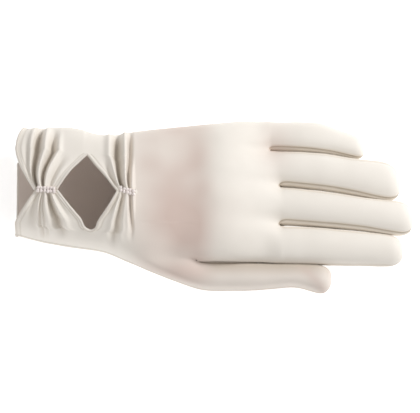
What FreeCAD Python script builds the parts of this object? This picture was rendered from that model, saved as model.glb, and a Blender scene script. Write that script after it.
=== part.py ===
# A left-hand, wrist-length bridal glove in stretch satin, shaped as a hand fills it and lying palm down.
# The back of the wrist is slit into a diamond window. Two short beaded loops gather the cloth at the
# window's ends, one near the cuff edge and one towards the hand. Every cloth piece is a closed solid of the
# cloth's own thickness. The hand and its wrist are one rigid body; the four finger stalls and the thumb
# stall hinge at their roots, so the side pieces between the fingers (fourchettes) belong to one stall each.
#
# Frame: +X from the cuff towards the fingertips, +Y towards the little finger, +Z out of the back of the
# hand. While modelling, X is 0 at the cuff edge and Y is 0 midway between the outer sides of the index and
# little stalls. The finished pieces are moved so that the origin is the middle of the underside's box.
import FreeCAD, Part

import math
import os
from collections import namedtuple

from FreeCAD import Vector

# ---------------------------------------------------------------- driving sizes, mm
WALL = 0.8  # satin with its brushed back
PLY_GAP = 0.05  # between two plies that are sewn together
ROOT_GAP = 0.6  # between the root of a stall and the hand
STALL_GAP = 0.6  # between neighbouring stalls
ROOT_SWELL = 14.0  # how far the roots of the fingers show on the hand
FLAT_SINK = 1.0  # how far the round underside is pressed flat on the table

CUFF_TO_WEB = 144.5  # cuff edge to the root of the longer fingers
WRIST_LENGTH = 66.0  # cuff edge to the seam where the gathered wrist joins the hand
CUFF_WIDTH = 60.4
CUFF_HEIGHT = 39.0
WRIST_WIDTH = 66.6
WRIST_HEIGHT = 39.5
HEEL_WIDTH = 73.0
HEEL_HEIGHT = 36.0
KNUCKLE_X = 112.0
KNUCKLE_HEIGHT = 28.5
WEB_HEIGHT = 20.6

THUMB_ROOT_X = 97.0
THUMB_LENGTH = 75.0
THUMB_WIDTH = 15.6
THUMB_HEIGHT = 18.6
THUMB_TIP_WIDTH = 14.8
THUMB_TIP_HEIGHT = 14.5

SEAM_ANGLE = 55.0  # from straight up to the seam between a finger's back and its fourchette, degrees
DRIFT_POWER = 1.5  # how a stall's taper and sideways lean grow towards its tip

WINDOW_Y = -6.2  # the slit's line on the back of the wrist
WINDOW_START = 22.0  # cuff edge to the window's near corner
WINDOW_LENGTH = 34.0
WINDOW_ULNAR = 21.0  # from the slit's line to the corner on the little-finger side
WINDOW_RADIAL = 21.3  # from the slit's line to the corner on the thumb side
WINDOW_CORNER = 1.5
NOTCH_DEPTH = 11.5  # how far the cuff edge dips to the gather
NOTCH_HALF = 22.0
HEM_WIDTH = 5.0
FACING_WIDTH = 4.0

BUNDLE_HEIGHT = 2.6  # the gathered folds inside a loop
BAND_WIDTH = 3.4
BAND_WALL = 0.7
BAND_CLEAR = 0.05
BEAD_DIAMETER = 1.7
BEAD_BORE = 0.6
BEAD_GAP = 0.05
BEAD_ROWS = 2
THREAD_DIAMETER = 0.4

# root width, tip width, root height, tip height, length from the web, web set back towards the cuff
Stall = namedtuple("Stall", "name root_width tip_width root_height tip_height length setback")
STALLS = [
    Stall("index", 21.8, 17.4, 19.0, 13.6, 67.0, 0.0),
    Stall("middle", 21.2, 17.0, 19.2, 13.6, 72.5, 0.0),
    Stall("ring", 20.0, 16.4, 18.2, 13.0, 66.0, 0.0),
    Stall("little", 16.6, 13.0, 15.8, 11.6, 51.0, 6.0),
]

# ---------------------------------------------------------------- sizes worked out from them
HAND_SPAN = sum(s.root_width for s in STALLS) + STALL_GAP * (len(STALLS) - 1)
BAND_SKIRT = 1.0  # a bundle is this much longer than its band, at each side
FAR = 200.0  # larger than the glove, for cutting shapes

SECTION_POINTS = 24
HAND_POWER = 2.35  # 2 is an ellipse, more is squarer
STALL_POWER = 2.15
DOME_ANGLES = [25.0, 45.0, 62.0, 74.0, 82.0]


# ---------------------------------------------------------------- rounded sections and lofts
def section_wire(x, y, half_width, z, up, down, power):
    """A closed, rounded section across the glove, square to X."""
    points = []
    for k in range(SECTION_POINTS):
        turn = 2 * math.pi * k / SECTION_POINTS
        c = math.cos(turn)
        s = math.sin(turn)
        reach = up if s > 0 else down
        side = math.copysign(abs(c) ** (2 / power), c)
        rise = math.copysign(abs(s) ** (2 / power), s)
        points.append(Vector(x, y + half_width * side, z + reach * rise))
    curve = Part.BSplineCurve()
    curve.interpolate(Points=points, PeriodicFlag=True)
    return Part.Wire([curve.toShape()])


def plain_section(x, y, width, top, inset, power):
    """A section whose underside reaches a little below the table, to be cut flat."""
    middle = top / 2
    return section_wire(x, y, width / 2 - inset, middle, middle - inset, middle + FLAT_SINK - inset, power)


def lofted(wires, floor):
    """A smooth solid through the sections, cut flat at the height of the floor."""
    solid = Part.makeLoft(wires, True, True)
    below = Part.makeBox(4 * FAR, 4 * FAR, FAR, Vector(-2 * FAR, -2 * FAR, floor - FAR))
    return solid.cut(below)


# ---------------------------------------------------------------- finger and thumb stalls
def straight_length(stall):
    """Root to where the tip starts to round off."""
    return stall.length - 0.5 * stall.tip_width


def taper(stall):
    """How fast a stall narrows, for a distance from its root raised to DRIFT_POWER."""
    return (stall.root_width - stall.tip_width) / straight_length(stall) ** DRIFT_POWER


def stall_roots():
    """Each finger's root middle in Y, starting from the index finger's outer side."""
    roots = {}
    edge = -HAND_SPAN / 2
    for stall in STALLS:
        roots[stall.name] = edge + stall.root_width / 2
        edge += stall.root_width + STALL_GAP
    return roots


def stall_leans():
    """How fast each finger leans towards the index side, so that each lies along its neighbour."""
    leans = {}
    lean = taper(STALLS[0]) / 2
    for before, stall in zip([None] + STALLS[:-1], STALLS):
        if before is not None:
            lean += (taper(before) + taper(stall)) / 2
        leans[stall.name] = lean
    return leans


def root_x(stall):
    return CUFF_TO_WEB - stall.setback


def stall_sections(stall, x0, y0, lean, start, inset):
    """Sections from start, measured from the root, through the straight part and over the rounded tip."""
    straight = straight_length(stall)
    dome = stall.length - inset - straight

    def sized(t, scale):
        along = max(t, 0.0)
        share = min(along, straight) / straight
        width = stall.root_width - taper(stall) * min(along, straight) ** DRIFT_POWER
        height = stall.root_height + (stall.tip_height - stall.root_height) * share
        y = y0 - lean * max(t - stall.setback, 0.0) ** DRIFT_POWER
        middle = height / 2
        return section_wire(
            x0 + t,
            y,
            (width / 2 - inset) * scale,
            middle,
            (middle - inset) * scale,
            (middle + FLAT_SINK - inset) * scale,
            STALL_POWER,
        )

    wires = [sized(start + (straight - start) * share, 1.0) for share in (0.0, 0.3, 0.6, 0.85, 1.0)]
    last = math.sin(math.radians(DOME_ANGLES[-1]))
    for angle in DOME_ANGLES:
        turn = math.radians(angle)
        wires.append(sized(straight + dome * math.sin(turn) / last, math.cos(turn)))
    return wires


def stall_solid(stall, x0, y0, lean, start, inset):
    return lofted(stall_sections(stall, x0, y0, lean, start, inset), inset)


def root_stub(stall, inset, past):
    """The swelling of the hand at the root of a finger, from inside the hand to past the root."""
    x0 = root_x(stall)
    y0 = stall_roots()[stall.name]
    wires = []
    for x, scale in ((x0 - ROOT_SWELL, 0.8), (x0 + past, 1.0)):
        half_width = (stall.root_width / 2 - inset) * scale
        middle = stall.root_height / 2
        up = (middle - inset) * scale
        down = (middle + FLAT_SINK - inset) * scale
        wires.append(section_wire(x, y0, half_width, middle, up, down, STALL_POWER))
    return lofted(wires, inset)


def thumb():
    """The thumb as a stall: its own sizes, root and lean."""
    sizes = (THUMB_WIDTH, THUMB_TIP_WIDTH, THUMB_HEIGHT, THUMB_TIP_HEIGHT, THUMB_LENGTH, 0.0)
    return Stall("thumb", *sizes), THUMB_ROOT_X, -HAND_SPAN / 2 - STALL_GAP - THUMB_WIDTH / 2, 0.0


def sector(x0, x1, y0, z0, y1, z1, low, high):
    """A wedge around a line, from x0 to x1, between two angles from straight up towards +Y."""
    steps = 5
    wires = []
    for x, y, z in ((x0, y0, z0), (x1, y1, z1)):
        points = [Vector(x, y, z)]
        for k in range(steps + 1):
            turn = math.radians(low + (high - low) * k / steps)
            points.append(Vector(x, y + FAR * math.sin(turn), z + FAR * math.cos(turn)))
        wires.append(Part.makePolygon(points + [points[0]]))
    return Part.makeLoft(wires, True, True)


def stall_pieces(stall, x0, y0, lean, seams):
    """A stall's hollow shell cut along its seams: {piece name: solid}."""
    shell = stall_solid(stall, x0, y0, lean, ROOT_GAP, 0.0).cut(stall_solid(stall, x0, y0, lean, -1.0, WALL))
    tip_y = y0 - lean * (stall.length - stall.setback) ** DRIFT_POWER
    ends = (x0, x0 + stall.length + 1.0, y0, stall.root_height / 2, tip_y, stall.tip_height / 2)
    return {name: shell.common(sector(*ends, low, high)) for name, low, high in seams}


def finger_seams(stall):
    """Which angles around a finger each piece covers."""
    names = [s.name for s in STALLS]
    at = names.index(stall.name)
    thumb_side = names[at - 1] if at > 0 else None
    little_side = names[at + 1] if at + 1 < len(names) else None
    a = SEAM_ANGLE
    left = -a if thumb_side else -90.0
    right = a if little_side else 90.0
    seams = [(f"{stall.name}_back_panel", left, right)]
    under_left = -180.0 + a if thumb_side else -90.0
    under_right = 180.0 - a if little_side else 90.0
    seams.append((f"{stall.name}_palm_panel", under_right, 360.0 + under_left))
    if little_side:
        seams.append((f"{stall.name}_fourchette_{little_side}_side", a, 180.0 - a))
    if thumb_side:
        seams.append((f"{stall.name}_fourchette_{thumb_side}_side", 180.0 + a, 360.0 - a))
    return seams


# ---------------------------------------------------------------- the hand and its wrist
def hand_stations():
    """(distance from the cuff edge, middle Y, width, height) along the hand."""
    palm_width = HAND_SPAN - 1.0
    base_width = palm_width - 3.5
    radial = -HAND_SPAN / 2
    return [
        (0.0, 3.9, CUFF_WIDTH, CUFF_HEIGHT),
        (0.3 * WRIST_LENGTH, 1.2, WRIST_WIDTH - 1.2, WRIST_HEIGHT),
        (0.55 * WRIST_LENGTH, -0.6, WRIST_WIDTH, WRIST_HEIGHT),
        (0.76 * WRIST_LENGTH, -3.0, WRIST_WIDTH - 1.0, WRIST_HEIGHT - 1.0),
        (WRIST_LENGTH, radial + HEEL_WIDTH / 2, HEEL_WIDTH, HEEL_HEIGHT),
        (THUMB_ROOT_X - 8.0, radial + base_width / 2, base_width, (HEEL_HEIGHT + KNUCKLE_HEIGHT) / 2),
        (KNUCKLE_X, radial + palm_width / 2, palm_width, KNUCKLE_HEIGHT),
        (0.5 * (KNUCKLE_X + CUFF_TO_WEB), 0.0, HAND_SPAN, 0.55 * KNUCKLE_HEIGHT + 0.45 * WEB_HEIGHT),
        (CUFF_TO_WEB, 0.0, HAND_SPAN, WEB_HEIGHT),
    ]


def palm_loft(inset, before, end):
    """The hand without its thumb, from before the cuff edge to end."""
    stations = hand_stations()
    wires = [plain_section(x, y, width, top, inset, HAND_POWER) for x, y, width, top in stations[:-1]]
    _, y, width, top = stations[-1]
    wires.append(plain_section(end, y, width, top, inset, HAND_POWER))
    if before:
        _, y, width, top = stations[0]
        wires.insert(0, plain_section(-before, y, width, top, inset, HAND_POWER))
    body = lofted(wires, inset)
    little = STALLS[-1]
    side = HAND_SPAN / 2 - little.root_width - STALL_GAP
    corner = Vector(root_x(little) - inset, side - inset, -FAR)
    return body.cut(Part.makeBox(FAR, FAR, 2 * FAR, corner))


def thumb_base_loft(inset, end):
    """The ball of the thumb: grows out of the heel of the hand and ends where the thumb stall begins."""
    _, root, y, _ = thumb()
    stations = [
        (root - 52.0, y + 25.0, THUMB_WIDTH + 4.4, 0.87 * CUFF_HEIGHT),
        (root - 31.0, y + 13.0, THUMB_WIDTH + 3.4, 0.75 * HEEL_HEIGHT),
        (root - 15.0, y + 6.2, THUMB_WIDTH + 1.6, 0.63 * HEEL_HEIGHT),
        (root - 5.0, y + 1.2, THUMB_WIDTH + 0.2, THUMB_HEIGHT + 0.6),
        (end, y, THUMB_WIDTH, THUMB_HEIGHT),
    ]
    return lofted([plain_section(*station, inset, STALL_POWER) for station in stations], inset)


def hand_volume(inset, before, web_inset, thumb_end):
    """The hand and the ball of the thumb as one volume, inset from the cloth's outer face."""
    return palm_loft(inset, before, CUFF_TO_WEB - web_inset).fuse(thumb_base_loft(inset, thumb_end))


def seam_height(x):
    """Height of the seam between the back and the palm."""
    share = min(max(x - WRIST_LENGTH, 0.0) / (CUFF_TO_WEB - WRIST_LENGTH), 1.0)
    return CUFF_HEIGHT / 2 + (WEB_HEIGHT / 2 - CUFF_HEIGHT / 2) * share


def back_side():
    """Everything above the seam between back and palm."""
    ends = (-FAR, WRIST_LENGTH, CUFF_TO_WEB, 2 * FAR)
    points = [Vector(x, -2 * FAR, seam_height(x)) for x in ends]
    points += [Vector(2 * FAR, -2 * FAR, FAR), Vector(-FAR, -2 * FAR, FAR)]
    return Part.Face(Part.makePolygon(points + [points[0]])).extrude(Vector(0, 4 * FAR, 0))


def upright(points_or_edges):
    """A tall prism on a closed outline in the XY plane."""
    return Part.Face(Part.Wire(points_or_edges)).extrude(Vector(0, 0, 2 * FAR))


def window_prism(grow):
    """The diamond window seen from above, grown outwards by the given amount."""
    y = WINDOW_Y
    middle = WINDOW_START + WINDOW_LENGTH / 2
    corners = [
        Vector(WINDOW_START - grow * 1.3, y, 0),
        Vector(middle + 1.0, y - WINDOW_RADIAL - grow * 1.6, 0),
        Vector(WINDOW_START + WINDOW_LENGTH + grow * 1.3, y, 0),
        Vector(middle, y + WINDOW_ULNAR + grow * 1.6, 0),
    ]
    prism = upright(Part.makePolygon(corners + [corners[0]]).Edges)
    tall = [e for e in prism.Edges if abs(e.BoundBox.ZLength - 2 * FAR) < 1e-6]
    sides = [e for e in tall if abs(e.CenterOfMass.y - y) > 1.0]
    return prism.makeFillet(WINDOW_CORNER + grow / 2, sides)


def notch_prism(shift):
    """The curved dip in the cuff edge, seen from above, moved towards the hand by the given amount."""
    y = WINDOW_Y
    outer = [Vector(shift, y + side * NOTCH_HALF, 0) for side in (1, -1)]
    bottom = Vector(shift + NOTCH_DEPTH, y, 0)
    bends = [Vector(shift + 0.33 * NOTCH_DEPTH, y + side * 0.39 * NOTCH_HALF, 0) for side in (1, -1)]
    back = [Vector(-FAR, p.y, 0) for p in outer]
    edges = [
        Part.makeLine(back[0], outer[0]),
        Part.Arc(outer[0], bends[0], bottom).toShape(),
        Part.Arc(bottom, bends[1], outer[1]).toShape(),
        Part.makeLine(outer[1], back[1]),
        Part.makeLine(back[1], back[0]),
    ]
    return upright(edges)


# ---------------------------------------------------------------- gathers, bands and beads
def surface_height(solid, x, y):
    """Height of a solid's top above a point."""
    return Part.makeLine(Vector(x, y, -FAR), Vector(x, y, FAR)).common(solid).BoundBox.ZMax


def gathers(outer):
    """(name, start x, end x, mid height) of the two necks of gathered cloth."""
    window_end = WINDOW_START + WINDOW_LENGTH
    spans = [("cuff", NOTCH_DEPTH, WINDOW_START), ("hand", window_end, WRIST_LENGTH)]
    found = []
    for name, start, end in spans:
        top = min(surface_height(outer, x, WINDOW_Y) for x in (start, end))
        found.append((name, start, end, top - WALL / 2))
    return found


def block(x0, x1, half_y, z0, z1):
    return Part.makeBox(x1 - x0, 2 * half_y, z1 - z0, Vector(x0, WINDOW_Y - half_y, z0))


def bundle_block(gather, clear):
    """The gathered folds in a neck as one short block, grown by a clearance."""
    _, start, end, z = gather
    high = BUNDLE_HEIGHT / 2 + clear
    return block(start - clear, end + clear, BAND_WIDTH / 2 + BAND_SKIRT + clear, z - high, z + high)


def band_ring(gather):
    """The short loop that holds a gather together."""
    _, start, end, z = gather
    inner = (start - BAND_CLEAR, end + BAND_CLEAR, BUNDLE_HEIGHT / 2 + BAND_CLEAR)
    outer = (inner[0] - BAND_WALL, inner[1] + BAND_WALL, inner[2] + BAND_WALL)
    ring = block(outer[0], outer[1], BAND_WIDTH / 2, z - outer[2], z + outer[2])
    long_edges = [e for e in ring.Edges if e.BoundBox.YLength > BAND_WIDTH - 1e-6]
    ring = ring.makeFillet(0.9 * BAND_WALL, long_edges)
    return ring.cut(block(inner[0], inner[1], FAR, z - inner[2], z + inner[2]))


def band_slot(gather):
    """The slot in the neighbouring cloth that a band passes through."""
    _, start, end, z = gather
    grow = BAND_WALL + 2 * BAND_CLEAR
    half = BUNDLE_HEIGHT / 2 + grow
    return block(start - grow, end + grow, BAND_WIDTH / 2 + BAND_CLEAR, z - half - WALL, z + half + WALL)


def bead_line(gather):
    """Bead centres along X and their height on a band."""
    _, start, end, z = gather
    pitch = BEAD_DIAMETER + BEAD_GAP
    count = int((end - start) / pitch)
    first = (start + end) / 2 - pitch * (count - 1) / 2
    height = z + BUNDLE_HEIGHT / 2 + BAND_CLEAR + BAND_WALL + BEAD_GAP + BEAD_DIAMETER / 2
    return [first + pitch * k for k in range(count)], height


def row_places():
    """Y of each row of beads on a band."""
    pitch = BEAD_DIAMETER + BEAD_GAP
    return [WINDOW_Y + pitch * (k - (BEAD_ROWS - 1) / 2) for k in range(BEAD_ROWS)]


def rod(start, end, radius):
    return Part.makeCylinder(radius, start.distanceToPoint(end), start, end - start)


def beads(gather):
    """The seed beads on a band, each bored along its row."""
    places, height = bead_line(gather)
    made = []
    for y in row_places():
        for x in places:
            at = Vector(x, y, height)
            reach = Vector(BEAD_DIAMETER, 0, 0)
            bead = Part.makeSphere(BEAD_DIAMETER / 2, at, Vector(1, 0, 0))
            made.append(bead.cut(rod(at - reach, at + reach, BEAD_BORE / 2)))
    return Part.makeCompound(made)


def bead_threads(gather):
    """One thread through each row, with both ends taken down to the band."""
    places, height = bead_line(gather)
    _, _, _, z = gather
    foot = z + BUNDLE_HEIGHT / 2 + BAND_CLEAR + BAND_WALL
    radius = THREAD_DIAMETER / 2
    reach = BEAD_DIAMETER / 2 + 1.5 * radius
    made = []
    for y in row_places():
        ends = [Vector(places[0] - reach, y, height), Vector(places[-1] + reach, y, height)]
        thread = rod(ends[0], ends[1], radius)
        for end in ends:
            thread = thread.fuse(Part.makeSphere(radius, end)).fuse(rod(Vector(end.x, y, foot), end, radius))
        made.append(thread)
    return Part.makeCompound(made)


# ---------------------------------------------------------------- all pieces
def hand_pieces():
    """The cloth pieces of the hand and wrist."""
    outer = hand_volume(0.0, 0.0, 0.0, THUMB_ROOT_X)
    inner = hand_volume(WALL, 1.0, WALL, THUMB_ROOT_X + 1.0)
    lining = hand_volume(WALL + PLY_GAP, 1.0, WALL, THUMB_ROOT_X + 1.0)
    lining_inner = hand_volume(2 * WALL + PLY_GAP, 1.0, WALL, THUMB_ROOT_X + 1.0)
    for stall in STALLS:
        outer = outer.fuse(root_stub(stall, 0.0, 0.0))
        inner = inner.fuse(root_stub(stall, WALL, 1.0))
    shell = outer.cut(inner)
    back = back_side()
    wrist_box = Part.makeBox(WRIST_LENGTH + FAR, 4 * FAR, 4 * FAR, Vector(-FAR, -2 * FAR, -2 * FAR))
    necks = gathers(outer)
    slots = [band_slot(neck) for neck in necks]

    shell_back = shell.common(back)
    hand_back = shell_back.cut(wrist_box).cut(slots[1])
    palm = shell.cut(back)
    wrist = shell_back.common(wrist_box).cut(window_prism(0.0)).cut(notch_prism(0.0))
    pieces = {"hand_back_panel": hand_back, "palm_panel": palm}
    for name, start in (("wrist_ulnar_panel", WINDOW_Y), ("wrist_radial_panel", WINDOW_Y - 2 * FAR)):
        half = Part.makeBox(4 * FAR, 2 * FAR, 4 * FAR, Vector(-2 * FAR, start, -2 * FAR))
        piece = wrist.common(half)
        for slot in slots:
            piece = piece.cut(slot)
        for neck in necks:
            piece = piece.fuse(bundle_block(neck, 0.0).common(half))
        pieces[name] = piece.common(wrist_box)

    ply = lining.cut(lining_inner)
    for neck in necks:
        ply = ply.cut(bundle_block(neck, PLY_GAP)).cut(band_slot(neck))
    window_ring = window_prism(FACING_WIDTH).cut(window_prism(0.0)).common(back)
    before_seam = Part.makeBox(WRIST_LENGTH - 1.0 + FAR, 4 * FAR, 4 * FAR, Vector(-FAR, -2 * FAR, -2 * FAR))
    pieces["window_facing"] = ply.common(window_ring).common(before_seam)
    edge_band = Part.makeBox(HEM_WIDTH, 4 * FAR, 4 * FAR, Vector(0, -2 * FAR, -2 * FAR))
    dip_band = notch_prism(HEM_WIDTH).common(back)
    hem_zone = edge_band.fuse(dip_band).cut(notch_prism(0.0).common(back))
    in_front = Part.makeBox(FAR, 4 * FAR, 4 * FAR, Vector(-FAR, -2 * FAR, -2 * FAR))
    hem = ply.common(hem_zone).cut(in_front).cut(window_prism(FACING_WIDTH + 1.0).common(back))
    pieces["cuff_hem"] = hem
    for neck in necks:
        pieces[f"{neck[0]}_gather_loop"] = band_ring(neck)
        pieces[f"{neck[0]}_beads"] = beads(neck)
        pieces[f"{neck[0]}_bead_threads"] = bead_threads(neck)
    return pieces


def all_pieces():
    """Every piece, by node name, before the move to the final origin."""
    pieces = hand_pieces()
    roots, leans = stall_roots(), stall_leans()
    for stall in STALLS:
        name = stall.name
        pieces.update(stall_pieces(stall, root_x(stall), roots[name], leans[name], finger_seams(stall)))
    stall, x, y, lean = thumb()
    seams = [("thumb_back_panel", -90.0, 90.0), ("thumb_palm_panel", 90.0, 270.0)]
    pieces.update(stall_pieces(stall, x, y, lean, seams))
    return pieces


def box_of(pieces):
    """(lowest corner, highest corner) of all the pieces together."""
    boxes = [shape.optimalBoundingBox(False, False) for shape in pieces.values()]
    low = Vector(min(b.XMin for b in boxes), min(b.YMin for b in boxes), min(b.ZMin for b in boxes))
    high = Vector(max(b.XMax for b in boxes), max(b.YMax for b in boxes), max(b.ZMax for b in boxes))
    return low, high


def main():
    os.makedirs("parts", exist_ok=True)
    pieces = all_pieces()
    low, high = box_of(pieces)
    shift = Vector(-(low.x + high.x) / 2, -(low.y + high.y) / 2, -low.z)
    for name, shape in pieces.items():
        moved = shape.copy()
        moved.translate(shift)
        moved.exportStep(f"parts/{name}.step")
        kinds = [(s.isValid(), s.isClosed(), round(s.Volume, 1)) for s in moved.Solids]
        print(name, len(moved.Solids), kinds[:3])
    print("moved by", shift, "size", high - low)
    return shift


SHIFT = main()
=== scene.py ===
import sys
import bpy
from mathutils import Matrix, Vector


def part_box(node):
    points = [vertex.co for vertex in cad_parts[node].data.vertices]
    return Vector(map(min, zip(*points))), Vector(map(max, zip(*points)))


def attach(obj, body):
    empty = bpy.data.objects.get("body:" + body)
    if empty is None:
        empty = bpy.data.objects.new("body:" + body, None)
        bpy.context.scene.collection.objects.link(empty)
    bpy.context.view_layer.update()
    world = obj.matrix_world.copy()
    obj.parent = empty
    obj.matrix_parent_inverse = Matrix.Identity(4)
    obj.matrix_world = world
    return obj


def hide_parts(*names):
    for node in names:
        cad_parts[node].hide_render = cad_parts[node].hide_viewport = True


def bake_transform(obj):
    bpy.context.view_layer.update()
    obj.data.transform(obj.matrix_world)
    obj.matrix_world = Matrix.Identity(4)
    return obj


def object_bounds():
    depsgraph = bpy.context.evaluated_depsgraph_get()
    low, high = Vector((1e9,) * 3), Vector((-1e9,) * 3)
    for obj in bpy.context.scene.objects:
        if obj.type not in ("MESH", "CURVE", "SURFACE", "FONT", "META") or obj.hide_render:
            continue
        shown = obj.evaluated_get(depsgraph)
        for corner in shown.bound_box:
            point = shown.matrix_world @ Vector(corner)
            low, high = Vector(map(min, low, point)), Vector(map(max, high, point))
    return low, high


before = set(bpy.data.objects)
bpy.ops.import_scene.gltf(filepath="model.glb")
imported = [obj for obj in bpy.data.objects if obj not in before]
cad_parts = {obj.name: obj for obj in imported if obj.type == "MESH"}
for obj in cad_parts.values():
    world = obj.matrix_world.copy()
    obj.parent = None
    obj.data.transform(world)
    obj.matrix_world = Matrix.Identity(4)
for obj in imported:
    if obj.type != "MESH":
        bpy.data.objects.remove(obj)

"""A left-hand, wrist-length bridal glove in ivory stretch satin, lying palm down.

The cloth is shaped as one smooth form and cut along its seams into the pieces that a glover sews together:
back, palm, four finger stalls with their fourchettes, thumb, and two fanned wrist pieces that a pair of
beaded loops gathers at either end of a diamond window.
"""

import logging
import math
from collections.abc import Callable
from dataclasses import dataclass, field
from enum import Enum

import bmesh
import bpy
import numpy as np
from mathutils import Vector, noise
from mathutils.bvhtree import BVHTree
from mathutils.kdtree import KDTree

LOG = logging.getLogger("glove")
MM = 0.001


class Side(Enum):
    """The two sides of the slit on the back of the wrist."""

    ULNAR = 1
    RADIAL = -1


# ------------------------------------------------------------------ small helpers
def smooth(a: float, b: float, x: float) -> float:
    """How far x is from a to b, from 0 to 1, with a soft start and end."""
    t = min(max((x - a) / (b - a), 0.0), 1.0)
    return t * t * (3 - 2 * t)


def between(x: float, xs: list[float], ys: list[float]) -> float:
    """The value at x of a line through the given points."""
    return float(np.interp(x, xs, ys))


def bump(x: float, middle: float, width: float) -> float:
    """A soft bell of height 1."""
    return math.exp(-(((x - middle) / width) ** 2))


def deselect() -> None:
    """Nothing is selected afterwards."""
    for item in bpy.context.selected_objects:
        item.select_set(False)


def pick(item: bpy.types.Object) -> None:
    """Makes one object the only selected one and the active one.

    Args:
        item: the object.
    """
    deselect()
    item.select_set(True)
    bpy.context.view_layer.objects.active = item


def apply_modifiers(item: bpy.types.Object) -> None:
    """Applies all of an object's modifiers, in order.

    Args:
        item: the object.
    """
    pick(item)
    for modifier in list(item.modifiers):
        bpy.ops.object.modifier_apply(modifier=modifier.name)


def mesh_arrays(mesh: bpy.types.Mesh) -> tuple[np.ndarray, np.ndarray]:
    """A mesh's points and their normals, as two arrays.

    Args:
        mesh: the mesh.

    Returns:
        The points and the normals, one row to a point.
    """
    points = np.zeros(len(mesh.vertices) * 3)
    normals = np.zeros(len(mesh.vertices) * 3)
    mesh.vertices.foreach_get("co", points)
    mesh.vertex_normals.foreach_get("vector", normals)
    return points.reshape(-1, 3), normals.reshape(-1, 3)


@dataclass(frozen=True)
class Layout:
    """Where the glove's own millimetres lie in the frame.

    X is 0 at the cuff edge, Y is 0 midway across the four finger roots, and Z is 0 on the table.
    """

    thumb_side: float = 56.9

    def corner(self) -> np.ndarray:
        """The frame's point, in metres, where the glove's own X, Y and Z are 0."""
        low = CAD_BOX[0]
        return np.array([low.x, low.y + self.thumb_side * MM, low.z])

    def place(self, points: np.ndarray) -> np.ndarray:
        """Points in glove millimetres as points in frame metres."""
        return np.asarray(points, float).reshape(-1, 3) * MM + self.corner()

    def spot(self, x: float, y: float, z: float) -> Vector:
        """One point in glove millimetres as a point in frame metres."""
        return Vector(self.place(np.array([[x, y, z]]))[0])


CAD_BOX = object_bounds()
LAYOUT = Layout()


def cloth_object(
    name: str,
    points: np.ndarray,
    faces: list[tuple[int, ...]],
    values: dict[str, np.ndarray] | None = None,
) -> bpy.types.Object:
    """A new mesh object from points in glove millimetres.

    Args:
        name: the object's name.
        points: its points, in glove millimetres.
        faces: its faces, as indices of points, facing outwards.
        values: float values to store at the points, by attribute name.

    Returns:
        The object, at the origin, with its place in its mesh.
    """
    mesh = bpy.data.meshes.new(name)
    mesh.from_pydata([tuple(p) for p in LAYOUT.place(points)], [], faces)
    for key, data in (values or {}).items():
        mesh.attributes.new(key, "FLOAT", "POINT").data.foreach_set("value", data.astype(np.float32))
    mesh.update()
    item = bpy.data.objects.new(name, mesh)
    bpy.context.scene.collection.objects.link(item)
    pick(item)
    bpy.ops.object.shade_smooth()
    return item


def shade_like(item: bpy.types.Object, normals: np.ndarray) -> None:
    """Shades a thickened sheet as part of one continuous cloth, so that no line shows where it ends.

    Args:
        item: the thickened sheet, whose first points are its outer face and whose next ones its inner face.
        normals: the direction of the whole cloth at each point of the outer face.
    """
    mesh = item.data
    count = len(normals)
    loops = np.zeros(len(mesh.loops) * 3)
    mesh.corner_normals.foreach_get("vector", loops)
    loops = loops.reshape(-1, 3)
    points = np.zeros(len(mesh.loops), int)
    mesh.loops.foreach_get("vertex_index", points)
    for polygon in mesh.polygons:
        span = slice(polygon.loop_start, polygon.loop_start + polygon.loop_total)
        inner = points[span] >= count
        if inner.all():
            loops[span] = -normals[points[span] - count]
        elif not inner.any():
            loops[span] = normals[points[span]]
        else:
            loops[span] = polygon.normal
    mesh.normals_split_custom_set([tuple(n) for n in loops])


def painted_shade_at(x: float, y: float, z: float) -> float:
    """How much painted shade, in a pinkish tone, the cloth gets at a place: most over the back of the hand
    and on the thumb.

    Args:
        x: distance from the cuff edge, in millimetres.
        y: distance across, towards the little finger.
        z: height above the table.

    Returns:
        The share of painted shade, from 0 for cloth with none.
    """
    cloud = 0.5 + 0.5 * noise.noise(Vector((x / 15, y / 12, 1.7)))
    above = smooth(10.0, 20.0, z)
    over_back = smooth(56.0, 78.0, x) * (1 - smooth(98.0, 113.0, x)) * above
    low_patch = bump(x, 93.0, 19.0) * bump(y, -17.0, 17.0) * above
    knuckle = 0.42 * bump(x, 142.0, 9.0) * bump(y, 25.0, 14.0)
    on_thumb = smooth(-38.0, -46.0, y) * smooth(64.0, 96.0, x)
    tip_fold = bump(x + 0.9 * (y + 48.0), 162.0, 4.0) * smooth(-41.0, -44.0, y) * smooth(2.0, 6.0, z)
    # painted shade: a pinkish cloud over the back of the hand, a patch towards its index side, a spot at the
    # ring and little knuckles, the thumb beside the index, and a band across the thumb's tip fold
    return 0.6 * over_back * (0.5 + cloud) + 0.5 * low_patch + knuckle + 0.26 * on_thumb + 0.35 * tip_fold


def shadow_inside(item: bpy.types.Object, count: int, amount: float = 0.5) -> None:
    """Paints shade on the inner face of a thickened sheet, where the inside of a closed glove lies in shade.

    Args:
        item: the thickened sheet.
        count: how many of its points are on the outer face, which come first.
        amount: share of painted shade inside.
    """
    dusk = item.data.attributes["dusk"].data
    values = np.zeros(len(dusk))
    dusk.foreach_get("value", values)
    # painted shade over the whole inner face
    values[count:] = amount
    dusk.foreach_set("value", values)


def thicken(item: bpy.types.Object, thickness: float) -> None:
    """Gives a single-ply sheet its thickness, inwards.

    Args:
        item: the sheet.
        thickness: in millimetres.
    """
    solid = item.modifiers.new("Thickness", "SOLIDIFY")
    solid.thickness = thickness * MM
    solid.offset = -1
    solid.use_even_offset = False
    apply_modifiers(item)


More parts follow.
